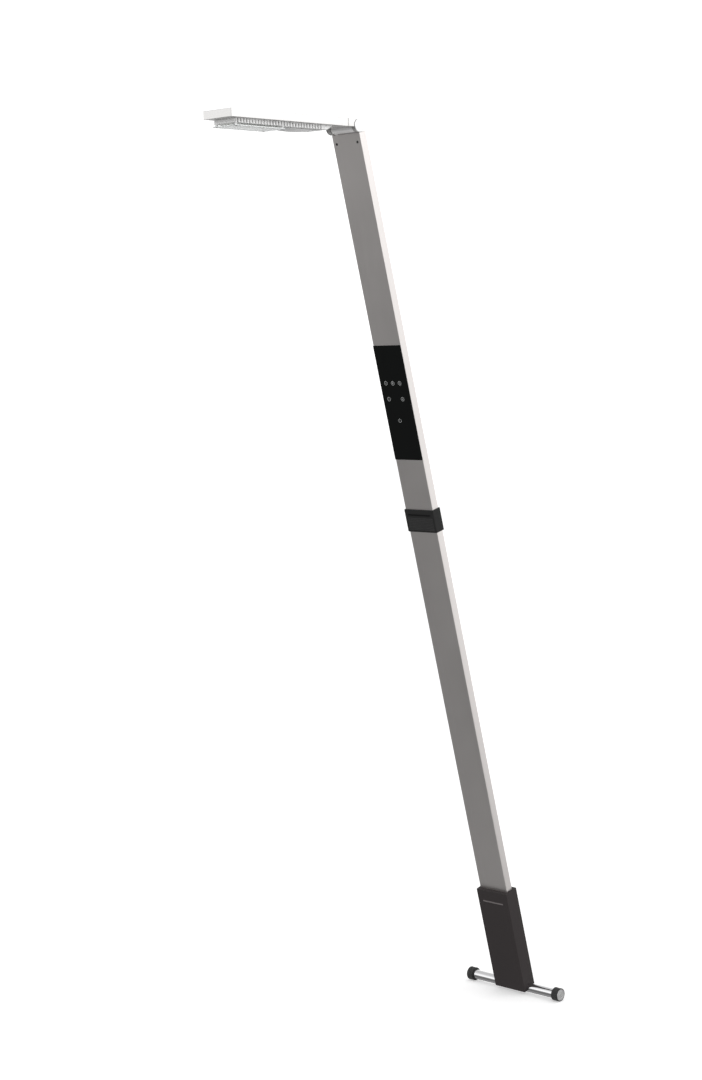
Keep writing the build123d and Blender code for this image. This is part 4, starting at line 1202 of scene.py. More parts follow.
class LAMP_OT_hinge(Operator):
    """Builds the hinge: knuckle, cheeks, end caps, washers, shaft, nuts and the screws in the mast"""

    bl_idname = of_class("hinge")
    bl_label = "Hinge"

    def execute(self, context):
        self.knuckle()
        self.cheeks()
        self.shaft()
        socket_screws(
            "hinge_screw_pair", "hinge_screws", MAST, TO_FRONT, head=1.6 * MM, shank=0.62, flat=0.55,
            recess=0.9 * MM,
        )
        return {"FINISHED"}

    def knuckle(self):
        """Plug in the mast's top, neck and barrel, bored for the shaft."""
        low, high = local_box("hinge_knuckle", MAST)
        mast_low, mast_high = local_box("mast_tube", MAST)
        mast_top = mast_high.z
        shaft = MAST.inverted() @ HINGE
        radius = shaft.y - low.y
        half = 20.4 * MM
        fit = 1.7 * MM
        plug = slab(
            Vector((mast_low.x + fit, mast_low.y + fit, low.z)),
            Vector((mast_high.x - fit, mast_high.y - fit, mast_top)), INNER_CORNER,
            edge_low=0.5 * MM, edge_high=0.1 * MM,
        )
        neck_half = 18.5 * MM
        neck_front = -2 * MM
        neck_middle = 3 * MM
        root = mast_top - 2 * MM
        shoulder = mast_top + 3.4 * MM
        neck = prism(
            [
                (high.y, root), (neck_front, root), (neck_front, shoulder),
                (neck_middle, shaft.z + 2 * MM), (high.y, shaft.z - 4 * MM),
            ],
            -neck_half, neck_half,
        )
        groove = 0.25 * MM
        end = 0.5 * MM
        step = 2.2 * MM
        profile = [
            (radius - end, -half), (radius, -half + end), (radius, -half + step),
            (radius - groove, -half + step + groove), (radius - groove, -half + step + 2 * groove),
            (radius, -half + step + 3 * groove),
        ]
        profile += [(reach, -height) for reach, height in reversed(profile)]
        barrel = moved(turned(profile, 64), Matrix.Translation(shaft) @ TO_SIDE)
        bore = round_cutter(BARREL_BORE, -2 * half, 2 * half)
        body = combine(plug, [neck, barrel], "UNION")
        body = combine(body, [moved(bore, Matrix.Translation(shaft) @ TO_SIDE)])
        piece("knuckle_casting", body, MAST, "hinge_knuckle")

    def cheeks(self):
        """Round cheeks, end caps and friction washers on the head's side of the hinge."""
        for side, name in ((-1, "left"), (1, "right")):
            node = "hinge_cheek_" + name
            low, high = local_box(node, PIN)
            inner, outer = sorted((abs(low.z), abs(high.z)))
            radius = high.y
            end = 0.35 * MM
            pocket = 6.6 * MM
            nut_seat = outer - 3.0 * MM
            profile = [
                (SHAFT_BORE, inner), (radius - end, inner), (radius, inner + end), (radius, outer - end),
                (radius - end, outer), (pocket, outer), (pocket, nut_seat), (SHAFT_BORE, nut_seat),
            ]
            cheek = turned(profile, 64, loop=True)
            tenon_low = Vector((-17 * MM, 0.3 * MM, inner + 1 * MM))
            tenon_high = Vector((-8.9 * MM, 5.3 * MM, inner + 5 * MM))
            whole = combine(cheek, [block(tenon_low, tenon_high)], "UNION")
            if side < 0:
                whole = mirrored(whole)
            piece("cheek_" + name + "_form", whole, PIN, node, round_piece=True)
        caps = [self.cap(), mirrored(self.cap())]
        piece("hinge_end_caps", joined(caps[::-1]), PIN, "hinge_caps", round_piece=True)
        rings = []
        for low, high in solids("friction_washers", PIN):
            ease = 0.1 * MM
            rings.append(turned(
                [
                    (WASHER_BORE, low.z), (high.y - ease, low.z), (high.y, low.z + ease),
                    (high.y, high.z - ease), (high.y - ease, high.z), (WASHER_BORE, high.z),
                ],
                48, loop=True,
            ))
        piece("spring_washers", joined(rings), PIN, "friction_washers", round_piece=True)

    def cap(self):
        """Cap on the right cheek: a spigot, a rounded rim and a turned groove in its face."""
        outside = local_box("hinge_caps", PIN)[1]
        radius = outside.y
        face = outside.z
        start = local_box("hinge_cheek_right", PIN)[1].z + HEAD_FIT
        spigot = 0.9 * MM
        lip = 0.4 * MM
        back = 0.1 * MM
        rim = 0.45 * MM
        rim_middle = 0.13 * MM
        groove = 1.1 * MM
        slope = 0.15 * MM
        bed = face - 0.12 * MM
        return turned(
            [
                (radius - spigot, start), (radius - spigot, start + lip), (radius - back, start + lip),
                (radius, start + lip + back), (radius, face - rim),
                (radius - rim_middle, face - rim_middle), (radius - rim, face), (radius - groove, face),
                (radius - groove - slope, bed), (radius - groove - 2 * slope, bed),
                (radius - groove - 3 * slope, face), (0.2 * radius, face),
            ],
            64,
        )

    def shaft(self):
        """Shaft with a thread relief at each end, and its two nuts."""
        low, high = local_box("hinge_shaft", PIN)
        radius = high.y
        ease = 0.5 * MM
        pitch = 0.7 * MM
        threads = 5
        thread_depth = 0.3 * MM
        thread_end = 4.4 * MM
        ends = [(radius - ease, 0.0), (radius, ease)]
        for turn in range(threads):
            start = pitch * (turn + 1)
            ends += [(radius, start), (radius - thread_depth, start + pitch / 2)]
        ends.append((radius, thread_end))
        profile = [(reach, low.z + height) for reach, height in ends]
        profile += [(reach, high.z - height) for reach, height in reversed(ends)]
        piece("hinge_pin", turned(profile, 48), PIN, "hinge_shaft", round_piece=True)
        nuts = []
        for low, high in solids("shaft_nuts", PIN):
            flat = 5.0 * MM
            ease = 0.3 * MM
            nuts.append(turned(
                [
                    (SHAFT_BORE, low.z), (flat - ease, low.z), (flat, low.z + ease, "hex"),
                    (flat, high.z - ease, "hex"), (flat - ease, high.z), (SHAFT_BORE, high.z),
                ],
                48, loop=True,
            ))
        piece("hinge_nuts", joined(nuts), PIN, "shaft_nuts", round_piece=True)


# ---- Touch panel ----


class LAMP_OT_panel(Operator):
    """Builds the touch panel's cover glass and its printed marks, and gives the board, its spacer and the wire
    loom their finishes
    """

    bl_idname = of_class("panel")
    bl_label = "Touch panel"

    def execute(self, context):
        sizes = context.scene.lamp_sizes
        low, high = local_box("control_glass", MAST)
        flat = slab(
            Vector((low.x, low.z, -high.y)), Vector((high.x, high.z, -low.y)), corner=0.8 * MM,
            edge_low=0.1 * MM, edge_high=sizes.glass_edge,
        )
        piece("panel_cover_glass", moved(flat, TO_FRONT), MAST, "control_glass")
        self.marks(sizes, low, high)
        dress("touch_board")
        dress("touch_spacer")
        dress("wire_loom")
        return {"FINISHED"}

    def marks(self, sizes, low, high):
        """Plain printed symbols: five ringed marks for the light and one for on and off."""
        radius = sizes.mark_size
        line = sizes.mark_line
        top = high.z
        first_row = top - 56.6 * MM
        second_row = top - 80.6 * MM
        power_row = top - 113.1 * MM
        left, centre, right = -15.3 * MM, -1.95 * MM, 11.4 * MM
        spots = [
            (left, first_row, "dot"), (centre, first_row, "sun"), (right, first_row, "bars"),
            (left, second_row, "minus"), (right, second_row, "plus"), (centre, power_row, "power"),
        ]
        sunk = -0.02 * MM
        lift = 0.04 * MM
        drawn = []
        for x, z, kind in spots:
            for outline in mark_outlines(kind, radius, line):
                mesh = loft([raised(outline, sunk), raised(outline, lift)])
                bmesh.ops.translate(mesh, vec=(x, z, -low.y), verts=mesh.verts)
                drawn.append(mesh)
            if kind != "power":
                ring = turned(
                    [(radius - line, sunk), (radius, sunk), (radius, lift), (radius - line, lift)],
                    40, loop=True,
                )
                bmesh.ops.translate(ring, vec=(x, z, -low.y), verts=ring.verts)
                drawn.append(ring)
        whole = moved(joined(drawn), TO_FRONT)
        piece("panel_marks", whole, MAST, "control_glass", finish="panel_ink", replace=False)


def bar_outline(length_value, width, turn=0.0, centre=(0, 0)):
    """Outline of a short bar turned about its centre."""
    points = [(-length_value / 2, -width / 2), (length_value / 2, -width / 2)]
    points += [(length_value / 2, width / 2), (-length_value / 2, width / 2)]
    cosine = math.cos(turn)
    sine = math.sin(turn)
    return [(centre[0] + x * cosine - y * sine, centre[1] + x * sine + y * cosine) for x, y in points]


def arc_band(radius, width, start, end, steps=28):
    """Outline of a part of a ring."""
    turns = [start + (end - start) * step / steps for step in range(steps + 1)]
    outside = [(radius * math.cos(turn), radius * math.sin(turn)) for turn in turns]
    inside = [((radius - width) * math.cos(turn), (radius - width) * math.sin(turn)) for turn in turns]
    return outside + inside[::-1]


def mark_outlines(kind, radius, line):
    """Outlines of one plain symbol."""
    inner = radius * 0.5
    if kind == "dot":
        return [circle(radius * 0.22, 16)]
    if kind == "sun":
        rays = [math.pi / 4 * step for step in range(8)]
        reach = inner * 0.95
        spots = [(reach * math.cos(turn), reach * math.sin(turn)) for turn in rays]
        ray = radius * 0.22
        outlines = [bar_outline(ray, line * 0.6, turn, spot) for turn, spot in zip(rays, spots)]
        return outlines + [circle(radius * 0.26, 16)]
    if kind == "bars":
        heights = [step * radius * 0.34 for step in (-1, 0, 1)]
        return [bar_outline(inner * 1.3, line * 0.8, 0, (0, height)) for height in heights]
    if kind == "minus":
        return [bar_outline(inner * 1.5, line)]
    if kind == "plus":
        half = (inner * 1.5 - line) / 4 + line / 2
        stub = (inner * 1.5 - line) / 2
        return [
            bar_outline(inner * 1.5, line),
            bar_outline(line, stub, 0, (0, half)),
            bar_outline(line, stub, 0, (0, -half)),
        ]
    gap = math.radians(38)
    top = math.pi / 2
    return [
        arc_band(radius * 0.95, line, top + gap, top + 2 * math.pi - gap),
        bar_outline(line, radius * 0.95, 0, (0, radius * 0.62)),
    ]


# ---- Collar ----


class LAMP_OT_collar(Operator):
    """Builds the sliding rest collar and its ribbed grip pad"""

    bl_idname = of_class("collar")
    bl_label = "Rest collar"

    def execute(self, context):
        sizes = context.scene.lamp_sizes
        low, high = local_box("collar_sleeve", MAST)
        mast_low, mast_high = local_box("mast_tube", MAST)
        gap = 0.5 * MM
        front = low.y - (high.y - low.y)
        edge = sizes.collar_edge
        rings = rounded_rings(low, high, sizes.collar_corner, edge, edge)
        inside = rectangle(
            mast_high.x - mast_low.x + gap, mast_high.y - mast_low.y + gap, sizes.mast_corner
        )
        rings = [raised(inside, low.z)] + rings + [raised(inside, high.z)]
        sleeve = loft(rings, loop=True)
        pad_low, pad_high = local_box("collar_grip_pad", MAST)
        pad_corner = 0.3 * MM
        window = prism_window(pad_low, pad_high, pad_corner, front, 0)
        groove_middle = pad_high.z + 3.7 * MM
        groove_low = groove_middle - 1.0 * MM
        groove_high = groove_middle + 1.0 * MM
        groove_half = 22 * MM
        groove_corner = 0.9 * MM
        groove_depth = 1.15 * MM
        groove = prism_window(
            Vector((-groove_half, 0, groove_low)), Vector((groove_half, 0, groove_high)),
            groove_corner, front, low.y + groove_depth,
        )
        # the groove's faces, which the collar's finish paints near black as painted shade
        recess = (
            Vector((-PLENTY, low.y + TINY, groove_low - TINY)),
            Vector((PLENTY, low.y + groove_depth + 5 * TINY, groove_high + TINY)),
        )
        piece("collar_shell", combine(sleeve, [window, groove]), MAST, "collar_sleeve", recess=recess)
        rise = sizes.rib_rise
        thickness = pad_high.y - pad_low.y - rise
        centre = Vector((0, pad_high.y - thickness / 2, (pad_low.z + pad_high.z) / 2))
        pad_gap = 0.1 * MM
        inputs = {
            "Width": pad_high.x - pad_low.x - pad_gap, "Thickness": thickness,
            "Height": pad_high.z - pad_low.z - pad_gap, "Ribs": sizes.rib_count, "Rise": rise,
        }
        grow(
            "collar_ribbed_pad", bmesh.new(), ribs_tree(), inputs, MAST @ Matrix.Translation(centre),
            "collar_grip_pad",
        )
        return {"FINISHED"}


# ---- Foot ----


class LAMP_OT_foot_shell(Operator):
    """Builds the foot housing, its ledge, its rear lid, the charging port's shell and their screws"""

    bl_idname = of_class("foot_shell")
    bl_label = "Foot housing"

    def execute(self, context):
        sizes = context.scene.lamp_sizes
        low, high = local_box("foot_housing", MAST)
        wall = Vector((sizes.foot_wall, sizes.foot_wall, 0))
        shell = slab(low, high, sizes.foot_corner, 0.4 * MM, sizes.foot_edge)
        cavity_low = low + wall - Vector((0, 0, 5 * MM))
        cavity_high = high - wall - Vector((0, 0, sizes.foot_roof))
        mast_low, mast_high = local_box("mast_tube", MAST)
        fit = Vector((0.15 * MM, 0.15 * MM, 0))
        throat = slab(mast_low - fit, mast_high + fit, sizes.mast_corner, TINY, TINY, 1)
        bar_radius = local_box("foot_bar", BAR)[1].y + 0.05 * MM
        bore = moved(round_cutter(bar_radius, 2 * low.x, 2 * high.x, segments=48), TO_SIDE)
        lid_low, lid_high = local_box("foot_back_cover", MAST)
        gap = Vector((0.2 * MM, 0, 0.2 * MM))
        lid_hole = prism_window(lid_low - gap, lid_high + gap, 3 * MM, 0, 2 * high.y)
        port_low, port_high = local_box("charge_socket", MAST)
        rim = Vector((0.7 * MM, 0, 0.85 * MM))
        port_hole = prism_window(port_low - rim, port_high + rim, 2.2 * MM, 0, 2 * high.y)
        cutters = [block(cavity_low, cavity_high), throat, bore, lid_hole, port_hole]
        for spot, radius in pins("mast_screws", MAST):
            cutters.append(drill(spot, radius + HOLE_FIT, 0, 2 * high.y, TO_BACK))
        piece("foot_shell", combine(shell, cutters), MAST, "foot_housing")
        self.ledge()
        self.lid()
        self.port()
        self.screws()
        return {"FINISHED"}

    def ledge(self):
        """Thin ledge across the housing's front, coloured lighter than the housing as a painted highlight along
        its lit edge.
        """
        low, high = local_box("front_ledge", MAST)
        outline = [
            (high.y + 0.3 * MM, low.z), (low.y, low.z), (low.y, low.z + 0.5 * MM), (high.y, high.z),
            (high.y + 0.3 * MM, high.z),
        ]
        ledge = prism(outline, low.x, high.x, 0.12 * MM)
        # its lighter finish is a painted highlight
        piece("foot_ledge", ledge, MAST, "front_ledge", finish="ledge_black")

    def lid(self):
        """Lid over the cells, with counterbored screw holes."""
        low, high = local_box("foot_back_cover", MAST)
        flat = slab(
            Vector((low.x, -high.z, low.y)), Vector((high.x, -low.z, high.y)), corner=2.9 * MM,
            edge_low=0.2 * MM, edge_high=0.45 * MM,
        )
        lid = moved(flat, TO_BACK)
        counterbore = 1.3 * MM
        through = 4 * MM
        cutters = []
        for spot, radius in pins("cover_screws", MAST):
            for reach, depth in ((radius + HEAD_FIT, counterbore), (0.5 * radius, through)):
                cutters.append(drill(spot, reach, high.y - depth, 2 * high.y, TO_BACK))
        piece("foot_rear_lid", combine(lid, cutters), MAST, "foot_back_cover")

    def port(self):
        """Folded shell of the charging port with its tongue."""
        low, high = local_box("charge_socket", MAST)
        width = high.x - low.x
        height = high.z - low.z
        depth = high.y - low.y
        outer = rectangle(width, height, 1.6 * MM)
        lip = rectangle(width - 0.2 * MM, height - 0.2 * MM, 1.5 * MM)
        inner = rectangle(width - 0.8 * MM, height - 0.8 * MM, 1.2 * MM)
        floor = 1.2 * MM
        shell = loft([
            raised(outer, 0), raised(outer, depth - 0.1 * MM), raised(lip, depth),
            raised(inner, depth), raised(inner, floor),
        ])
        tongue_low = Vector((-3.3 * MM, -0.35 * MM, floor - 0.2 * MM))
        tongue_high = Vector((3.3 * MM, 0.35 * MM, depth - 1 * MM))
        tongue = block(tongue_low, tongue_high)
        whole = combine(shell, [tongue], "UNION")
        centre = Matrix.Translation(((low.x + high.x) / 2, low.y, (low.z + high.z) / 2))
        piece("charge_port_shell", moved(whole, centre @ TO_BACK), MAST, "charge_socket")

    def screws(self):
        """Four lid screws and the two screws that clamp the mast."""
        socket_screws(
            "lid_screws", "cover_screws", MAST, TO_BACK, head=1.1 * MM, shank=0.48, flat=0.5,
            recess=0.7 * MM,
        )
        socket_screws(
            "mast_clamp_screws", "mast_screws", MAST, TO_BACK, head=1.9 * MM, shank=0.5, flat=0.5,
            recess=1.0 * MM,
        )


class LAMP_OT_foot_bar(Operator):
    """Builds the chromed cross bar, its rubber caps, end discs and screws"""

    bl_idname = of_class("foot_bar")
    bl_label = "Foot bar"

    def execute(self, context):
        sizes = context.scene.lamp_sizes
        low, high = local_box("foot_bar", BAR)
        radius = high.y
        half = high.z
        ease = 0.5 * MM
        profile = [
            (radius - ease, -half), (radius, -half + ease), (radius, half - ease), (radius - ease, half),
        ]
        bar = moved(turned(profile, 96), TO_SIDE)
        head = 1.8 * MM
        through = 20 * MM
        head_face = solids("bar_screws", MAST)[0][0].z
        cutters = []
        for spot, size in pins("bar_screws", MAST):
            for reach, depth in ((size + HEAD_FIT, head), (0.44 * size, through)):
                top = head_face + depth
                cutters.append(round_cutter(reach, -2 * radius, top, (spot.x, spot.y)))
        piece("chrome_cross_bar", combine(bar, cutters), MAST, "foot_bar")
        socket_screws(
            "bar_clamp_screws", "bar_screws", MAST, TO_UNDER, head=head, shank=0.42, flat=0.5,
            recess=1.0 * MM,
        )
        self.caps(sizes)
        self.discs()
        dress("bar_saddle")
        return {"FINISHED"}

    def caps(self, sizes):
        """Rubber caps with a diamond knurl round them."""
        disc_low, disc_high = local_box("cap_discs", BAR)
        disc = disc_high.y + 0.06 * MM
        bar = local_box("foot_bar", BAR)[1]
        for side, name in ((-1, "left"), (1, "right")):
            node = "rubber_cap_" + name
            low, high = local_box(node, BAR)
            start, end = sorted((abs(low.z), abs(high.z)))
            radius = high.y
            ease = 0.6 * MM
            band_rings = 44
            band_low = start + 1.2 * MM
            band_high = end - 1.2 * MM
            recess = 0.7 * MM
            profile = [
                (0.3 * MM, bar.z), (bar.y, bar.z), (bar.y, start), (radius - ease, start),
                (radius - 0.3 * ease, start + 0.3 * ease), (radius, start + ease),
            ]
            first_band = len(profile)
            for ring in range(band_rings + 1):
                profile.append((radius, band_low + (band_high - band_low) * ring / band_rings))
            last_band = len(profile)
            profile += [
                (radius, end - ease), (radius - 0.3 * ease, end - 0.3 * ease), (radius - ease, end),
                (disc, end), (disc, end - recess), (0.3 * MM, end - recess),
            ]
            segments = 8 * sizes.knurl_ridges
            mesh = turned(profile, segments)
            mesh.verts.ensure_lookup_table()
            layer = mesh.verts.layers.float.new("band")
            for ring in range(first_band, last_band):
                for index in range(segments):
                    mesh.verts[ring * segments + index][layer] = 1.0
            if side < 0:
                mesh = mirrored(mesh)
            tree = bpy.data.node_groups.get("Diamond knurl") or knurl_tree()
            inputs = {"Ridges": sizes.knurl_ridges, "Depth": sizes.knurl_depth, "Pitch": 2.7 * MM}
            grow("knurled_cap_" + name, mesh, tree, inputs, BAR, node, round_piece=True)

    def discs(self):
        """Turned end discs with shallow rings."""
        plates = []
        for low, high in solids("cap_discs", BAR):
            side = 1 if high.z > 0 else -1
            inner, outer = sorted((abs(low.z), abs(high.z)))
            radius = high.y
            profile = [
                (radius, inner), (radius, outer - 0.2 * MM), (radius - 0.2 * MM, outer),
            ]
            for groove in (0.62,):
                reach = groove * radius
                profile += [
                    (reach + 0.3 * MM, outer), (reach + 0.15 * MM, outer - 0.12 * MM),
                    (reach - 0.15 * MM, outer - 0.12 * MM), (reach - 0.3 * MM, outer),
                ]
            profile.append((0.2 * MM, outer))
            plate = turned(profile, 64)
            if side < 0:
                plate = mirrored(plate)
            plates.append(plate)
        piece("turned_end_discs", joined(plates), BAR, "cap_discs", round_piece=True)


class LAMP_OT_foot_inside(Operator):
    """Gives the pieces inside the foot their finishes"""

    bl_idname = of_class("foot_inside")
    bl_label = "Inside the foot"

    def execute(self, context):
        for node in ("battery_cells", "cell_contacts", "cell_cradle", "charge_board", "mast_socket"):
            dress(node)
        return {"FINISHED"}


# ---- Head ----


class LAMP_OT_head_shell(Operator):
    """Builds the head housing, its end block, its base plate and the plate's screws"""

    bl_idname = of_class("head_shell")
    bl_label = "Head housing"

    def execute(self, context):
        sizes = context.scene.lamp_sizes
        low, high = local_box("head_housing", HEAD)
        shell = slab(low, high, sizes.head_corner, 0.25 * MM, sizes.head_edge)
        wall = Vector((sizes.head_wall, sizes.head_wall, 0))
        cavity = block(
            low + wall - Vector((0, 0, 5 * MM)), high - wall - Vector((0, 0, sizes.head_roof))
        )
        piece("head_shell", combine(shell, [cavity]), HEAD, "head_housing")
        self.end_block(sizes)
        self.base_plate()
        for node in ("screw_posts", "driver_board"):
            dress(node)
        return {"FINISHED"}

    def end_block(self, sizes):
        """Block behind the seam, hollowed round the hinge."""
        low, high = local_box("head_rear_block", HEAD)
        radius = local_box("hinge_cheek_right", PIN)[1].y + 0.1 * MM
        outline = [(low.y, low.z), (high.y, low.z), (high.y, high.z), (low.y, high.z)]
        body = prism(outline, low.x, high.x, 0.45 * MM)
        bore = moved(round_cutter(radius, 2 * low.x, 2 * high.x, segments=64), TO_SIDE)
        body = combine(body, [bore])
        pockets = []
        for side in ("left", "right"):
            cheek_low, cheek_high = local_box("hinge_cheek_" + side, HEAD)
            centre = (cheek_low.x + cheek_high.x) / 2
            pockets.append(block(
                Vector((centre - 2.2 * MM, cheek_low.y - 0.1 * MM, 0.2 * MM)),
                Vector((centre + 2.2 * MM, 0, 5.4 * MM)),
            ))
        piece("head_end_block", combine(body, pockets), HEAD, "head_rear_block")

    def base_plate(self):
        """Plate under the housing, held by six flush screws."""
        low, high = local_box("head_floor", HEAD)
        plate = slab(low, high, 0.3 * MM, 0.15 * MM, 0.1 * MM)
        past = 2 * MM
        cutters = []
        for spot, radius in pins("floor_screws", HEAD):
            reach = radius + HOLE_FIT
            cutters.append(round_cutter(reach, low.z - past, high.z + past, (spot.x, spot.y), 24))
        piece("head_base_plate", combine(plate, cutters), HEAD, "head_floor", finish="floor_silver")
        head = high.z - solids("floor_screws", HEAD)[0][0].z
        socket_screws(
            "base_plate_screws", "floor_screws", HEAD, TO_UNDER, head=head, shank=0.6, flat=0.5,
            recess=0.7 * MM,
        )


class LAMP_OT_heat_sink(Operator):
    """Builds the finned heat sink under the head"""

    bl_idname = of_class("heat_sink")
    bl_label = "Heat sink"

    def execute(self, context):
        sizes = context.scene.lamp_sizes
        low, high = local_box("heat_sink", HEAD)
        ramp = 11.5 * MM
        outline = [
            (low.y, high.z), (low.y, low.z), (high.y - ramp, low.z), (high.y, high.z),
        ]
        body = prism(outline, low.x, high.x, sizes.sink_edge)
        inner = -sizes.slot_depth
        outer = 2 * MM
        top = high.z - 0.45 * MM
        ledge = low.z + 1.3 * MM
        lip = -2.2 * MM
        width = sizes.slot_width
        cutter = bmesh.new()
        bottom = low.z - MM
        points = [
            (outer, top), (inner, top), (inner, ledge), (lip, ledge), (lip, bottom), (outer, bottom),
        ]
        ends = [[cutter.verts.new((x, y, z)) for x, z in points] for y in (-width / 2, width / 2)]
        cutter.faces.new(ends[0])
        cutter.faces.new(ends[1][::-1])
        for index in range(len(points)):
            after = (index + 1) % len(points)
            cutter.faces.new((ends[0][index], ends[1][index], ends[1][after], ends[0][after]))
        bmesh.ops.recalc_face_normals(cutter, faces=cutter.faces)
        tool = scratch_object("cutter", cutter)
        cutter.free()
        first = low.y + 2.8 * MM
        rail_tip = first + sizes.slot_pitch * 3.5
        rail_rear = first + sizes.slot_pitch * 10.5
        rail_half = high.x - 3.2 * MM
        rail_fit = 0.2 * MM
        inputs = {
            "Cutter": tool, "Slots": sizes.slot_count, "Pitch": sizes.slot_pitch, "Half width": high.x,
            "Middle": first + sizes.slot_pitch * (sizes.slot_count - 1) / 2,
            "Rail size": (2 * rail_half, rail_rear - rail_tip, high.z - low.z - 2 * rail_fit),
            "Rail middle": (0, (rail_tip + rail_rear) / 2, (low.z + high.z) / 2),
        }
        grow("finned_sink", body, slots_tree(), inputs, HEAD, "heat_sink")
        drop(tool)
        return {"FINISHED"}


class LAMP_OT_light(Operator):
    """Builds the LED board, its emitters, the screwed light plate and the bowed cover"""

    bl_idname = of_class("light")
    bl_label = "Light"

    def execute(self, context):
        low, high = local_box("led_board", HEAD)
        piece("led_carrier", slab(low, high, 0.5 * MM, 0.1 * MM, 0.05 * MM), HEAD, "led_board")
        self.emitters()
        self.plate()
        self.cover()
        return {"FINISHED"}

    def emitters(self):
        """Two rows of emitters, each a low frame with a domed phosphor."""
        boxes = solids("led_chips", HEAD)
        low, high = boxes[0]
        width = high.x - low.x
        depth = high.y - low.y
        height = high.z - low.z
        rings = [
            raised(rectangle(width, depth, 0.3 * MM), 0.0),
            raised(rectangle(width, depth, 0.3 * MM), height - 0.1 * MM),
            raised(rectangle(width - 0.2 * MM, depth - 0.2 * MM, 0.3 * MM), height),
            raised(rectangle(width - 0.6 * MM, depth - 0.6 * MM, 0.5 * MM), height - 0.25 * MM),
            raised(rectangle(width - 1.2 * MM, depth - 1.2 * MM, 0.5 * MM), height - 0.18 * MM),
        ]
        master = moved(loft(rings), TO_UNDER)
        tool = scratch_object("emitter", master)
        master.free()
        inside = Vector((width / 2 - 0.25 * MM, depth / 2 - 0.25 * MM, 0))
        cup = (-inside - Vector((0, 0, height)), inside - Vector((0, 0, 0.2 * height)))
        tag_edges(tool.data, False, cup)
        columns = sorted({round((a.x + b.x) / 2, 5) for a, b in boxes})
        rows = sorted({round((a.y + b.y) / 2, 5) for a, b in boxes})
        centre = Vector(((columns[0] + columns[-1]) / 2, (rows[0] + rows[-1]) / 2, high.z))
        inputs = {
            "Piece": tool, "Columns": len(columns), "Column pitch": columns[1] - columns[0],
            "Rows": len(rows), "Row pitch": (rows[-1] - rows[0]) / (len(rows) - 1),
        }
        place = HEAD @ Matrix.Translation(centre)
        grow("led_emitters", bmesh.new(), rows_tree(), inputs, place, "led_chips")
        drop(tool)

    def plate(self):
        """Clear plate on four spacers, held by dark screws."""
        low, high = local_box("lens_plate", HEAD)
        plate = slab(low, high, 2 * MM, 0.3 * MM, 0.3 * MM)
        head = 1.1 * MM
        shank = 1.15 * MM
        bore = 1.25 * MM
        past = 2 * MM
        cutters = []
        for spot, size in pins("lens_screws", HEAD):
            for reach, top in ((size + HEAD_FIT, low.z + head), (bore, high.z + past)):
                cutters.append(round_cutter(reach, low.z - past, top, (spot.x, spot.y), 24))
        piece("light_plate", combine(plate, cutters), HEAD, "lens_plate")
        spacer_low, spacer_high = solids("lens_spacers", HEAD)[0]
        radius = (spacer_high.x - spacer_low.x) / 2
        height = spacer_high.z - spacer_low.z
        ease = 0.2 * MM
        master = turned(
            [
                (bore, 0), (radius - ease, 0), (radius, ease), (radius, height - ease),
                (radius - ease, height), (bore, height),
            ],
            24, loop=True,
        )
        screws = pins("lens_screws", HEAD)
        spots = [Vector((spot.x, spot.y, spacer_low.z)) for spot, size in screws]
        copies("plate_spacers", master, spots, HEAD, "lens_spacers")
        socket_screws(
            "plate_screws", "lens_screws", HEAD, TO_UNDER, head=head, shank=shank / screws[0][1],
            flat=0.5, recess=0.5 * MM,
        )

    def cover(self):
        """Cover whose underside bows down, with a rolled rim."""
        low, high = local_box("driver_cover", HEAD)
        reach = high.y - low.y
        sag = high.z - low.z
        radius = (reach * reach / 4 + sag * sag) / (2 * sag)
        steps = 24
        outline = [(high.y, high.z + 0.1 * MM), (low.y, high.z + 0.1 * MM)]
        for step in range(steps + 1):
            y = low.y + reach * step / steps
            drop_value = math.sqrt(radius * radius - (y - (low.y + high.y) / 2) ** 2) - (radius - sag)
            outline.append((y, high.z - drop_value))
        piece("bowed_cover", prism(outline, low.x, high.x, 0.4 * MM), HEAD, "driver_cover")


# ---- Studio ----


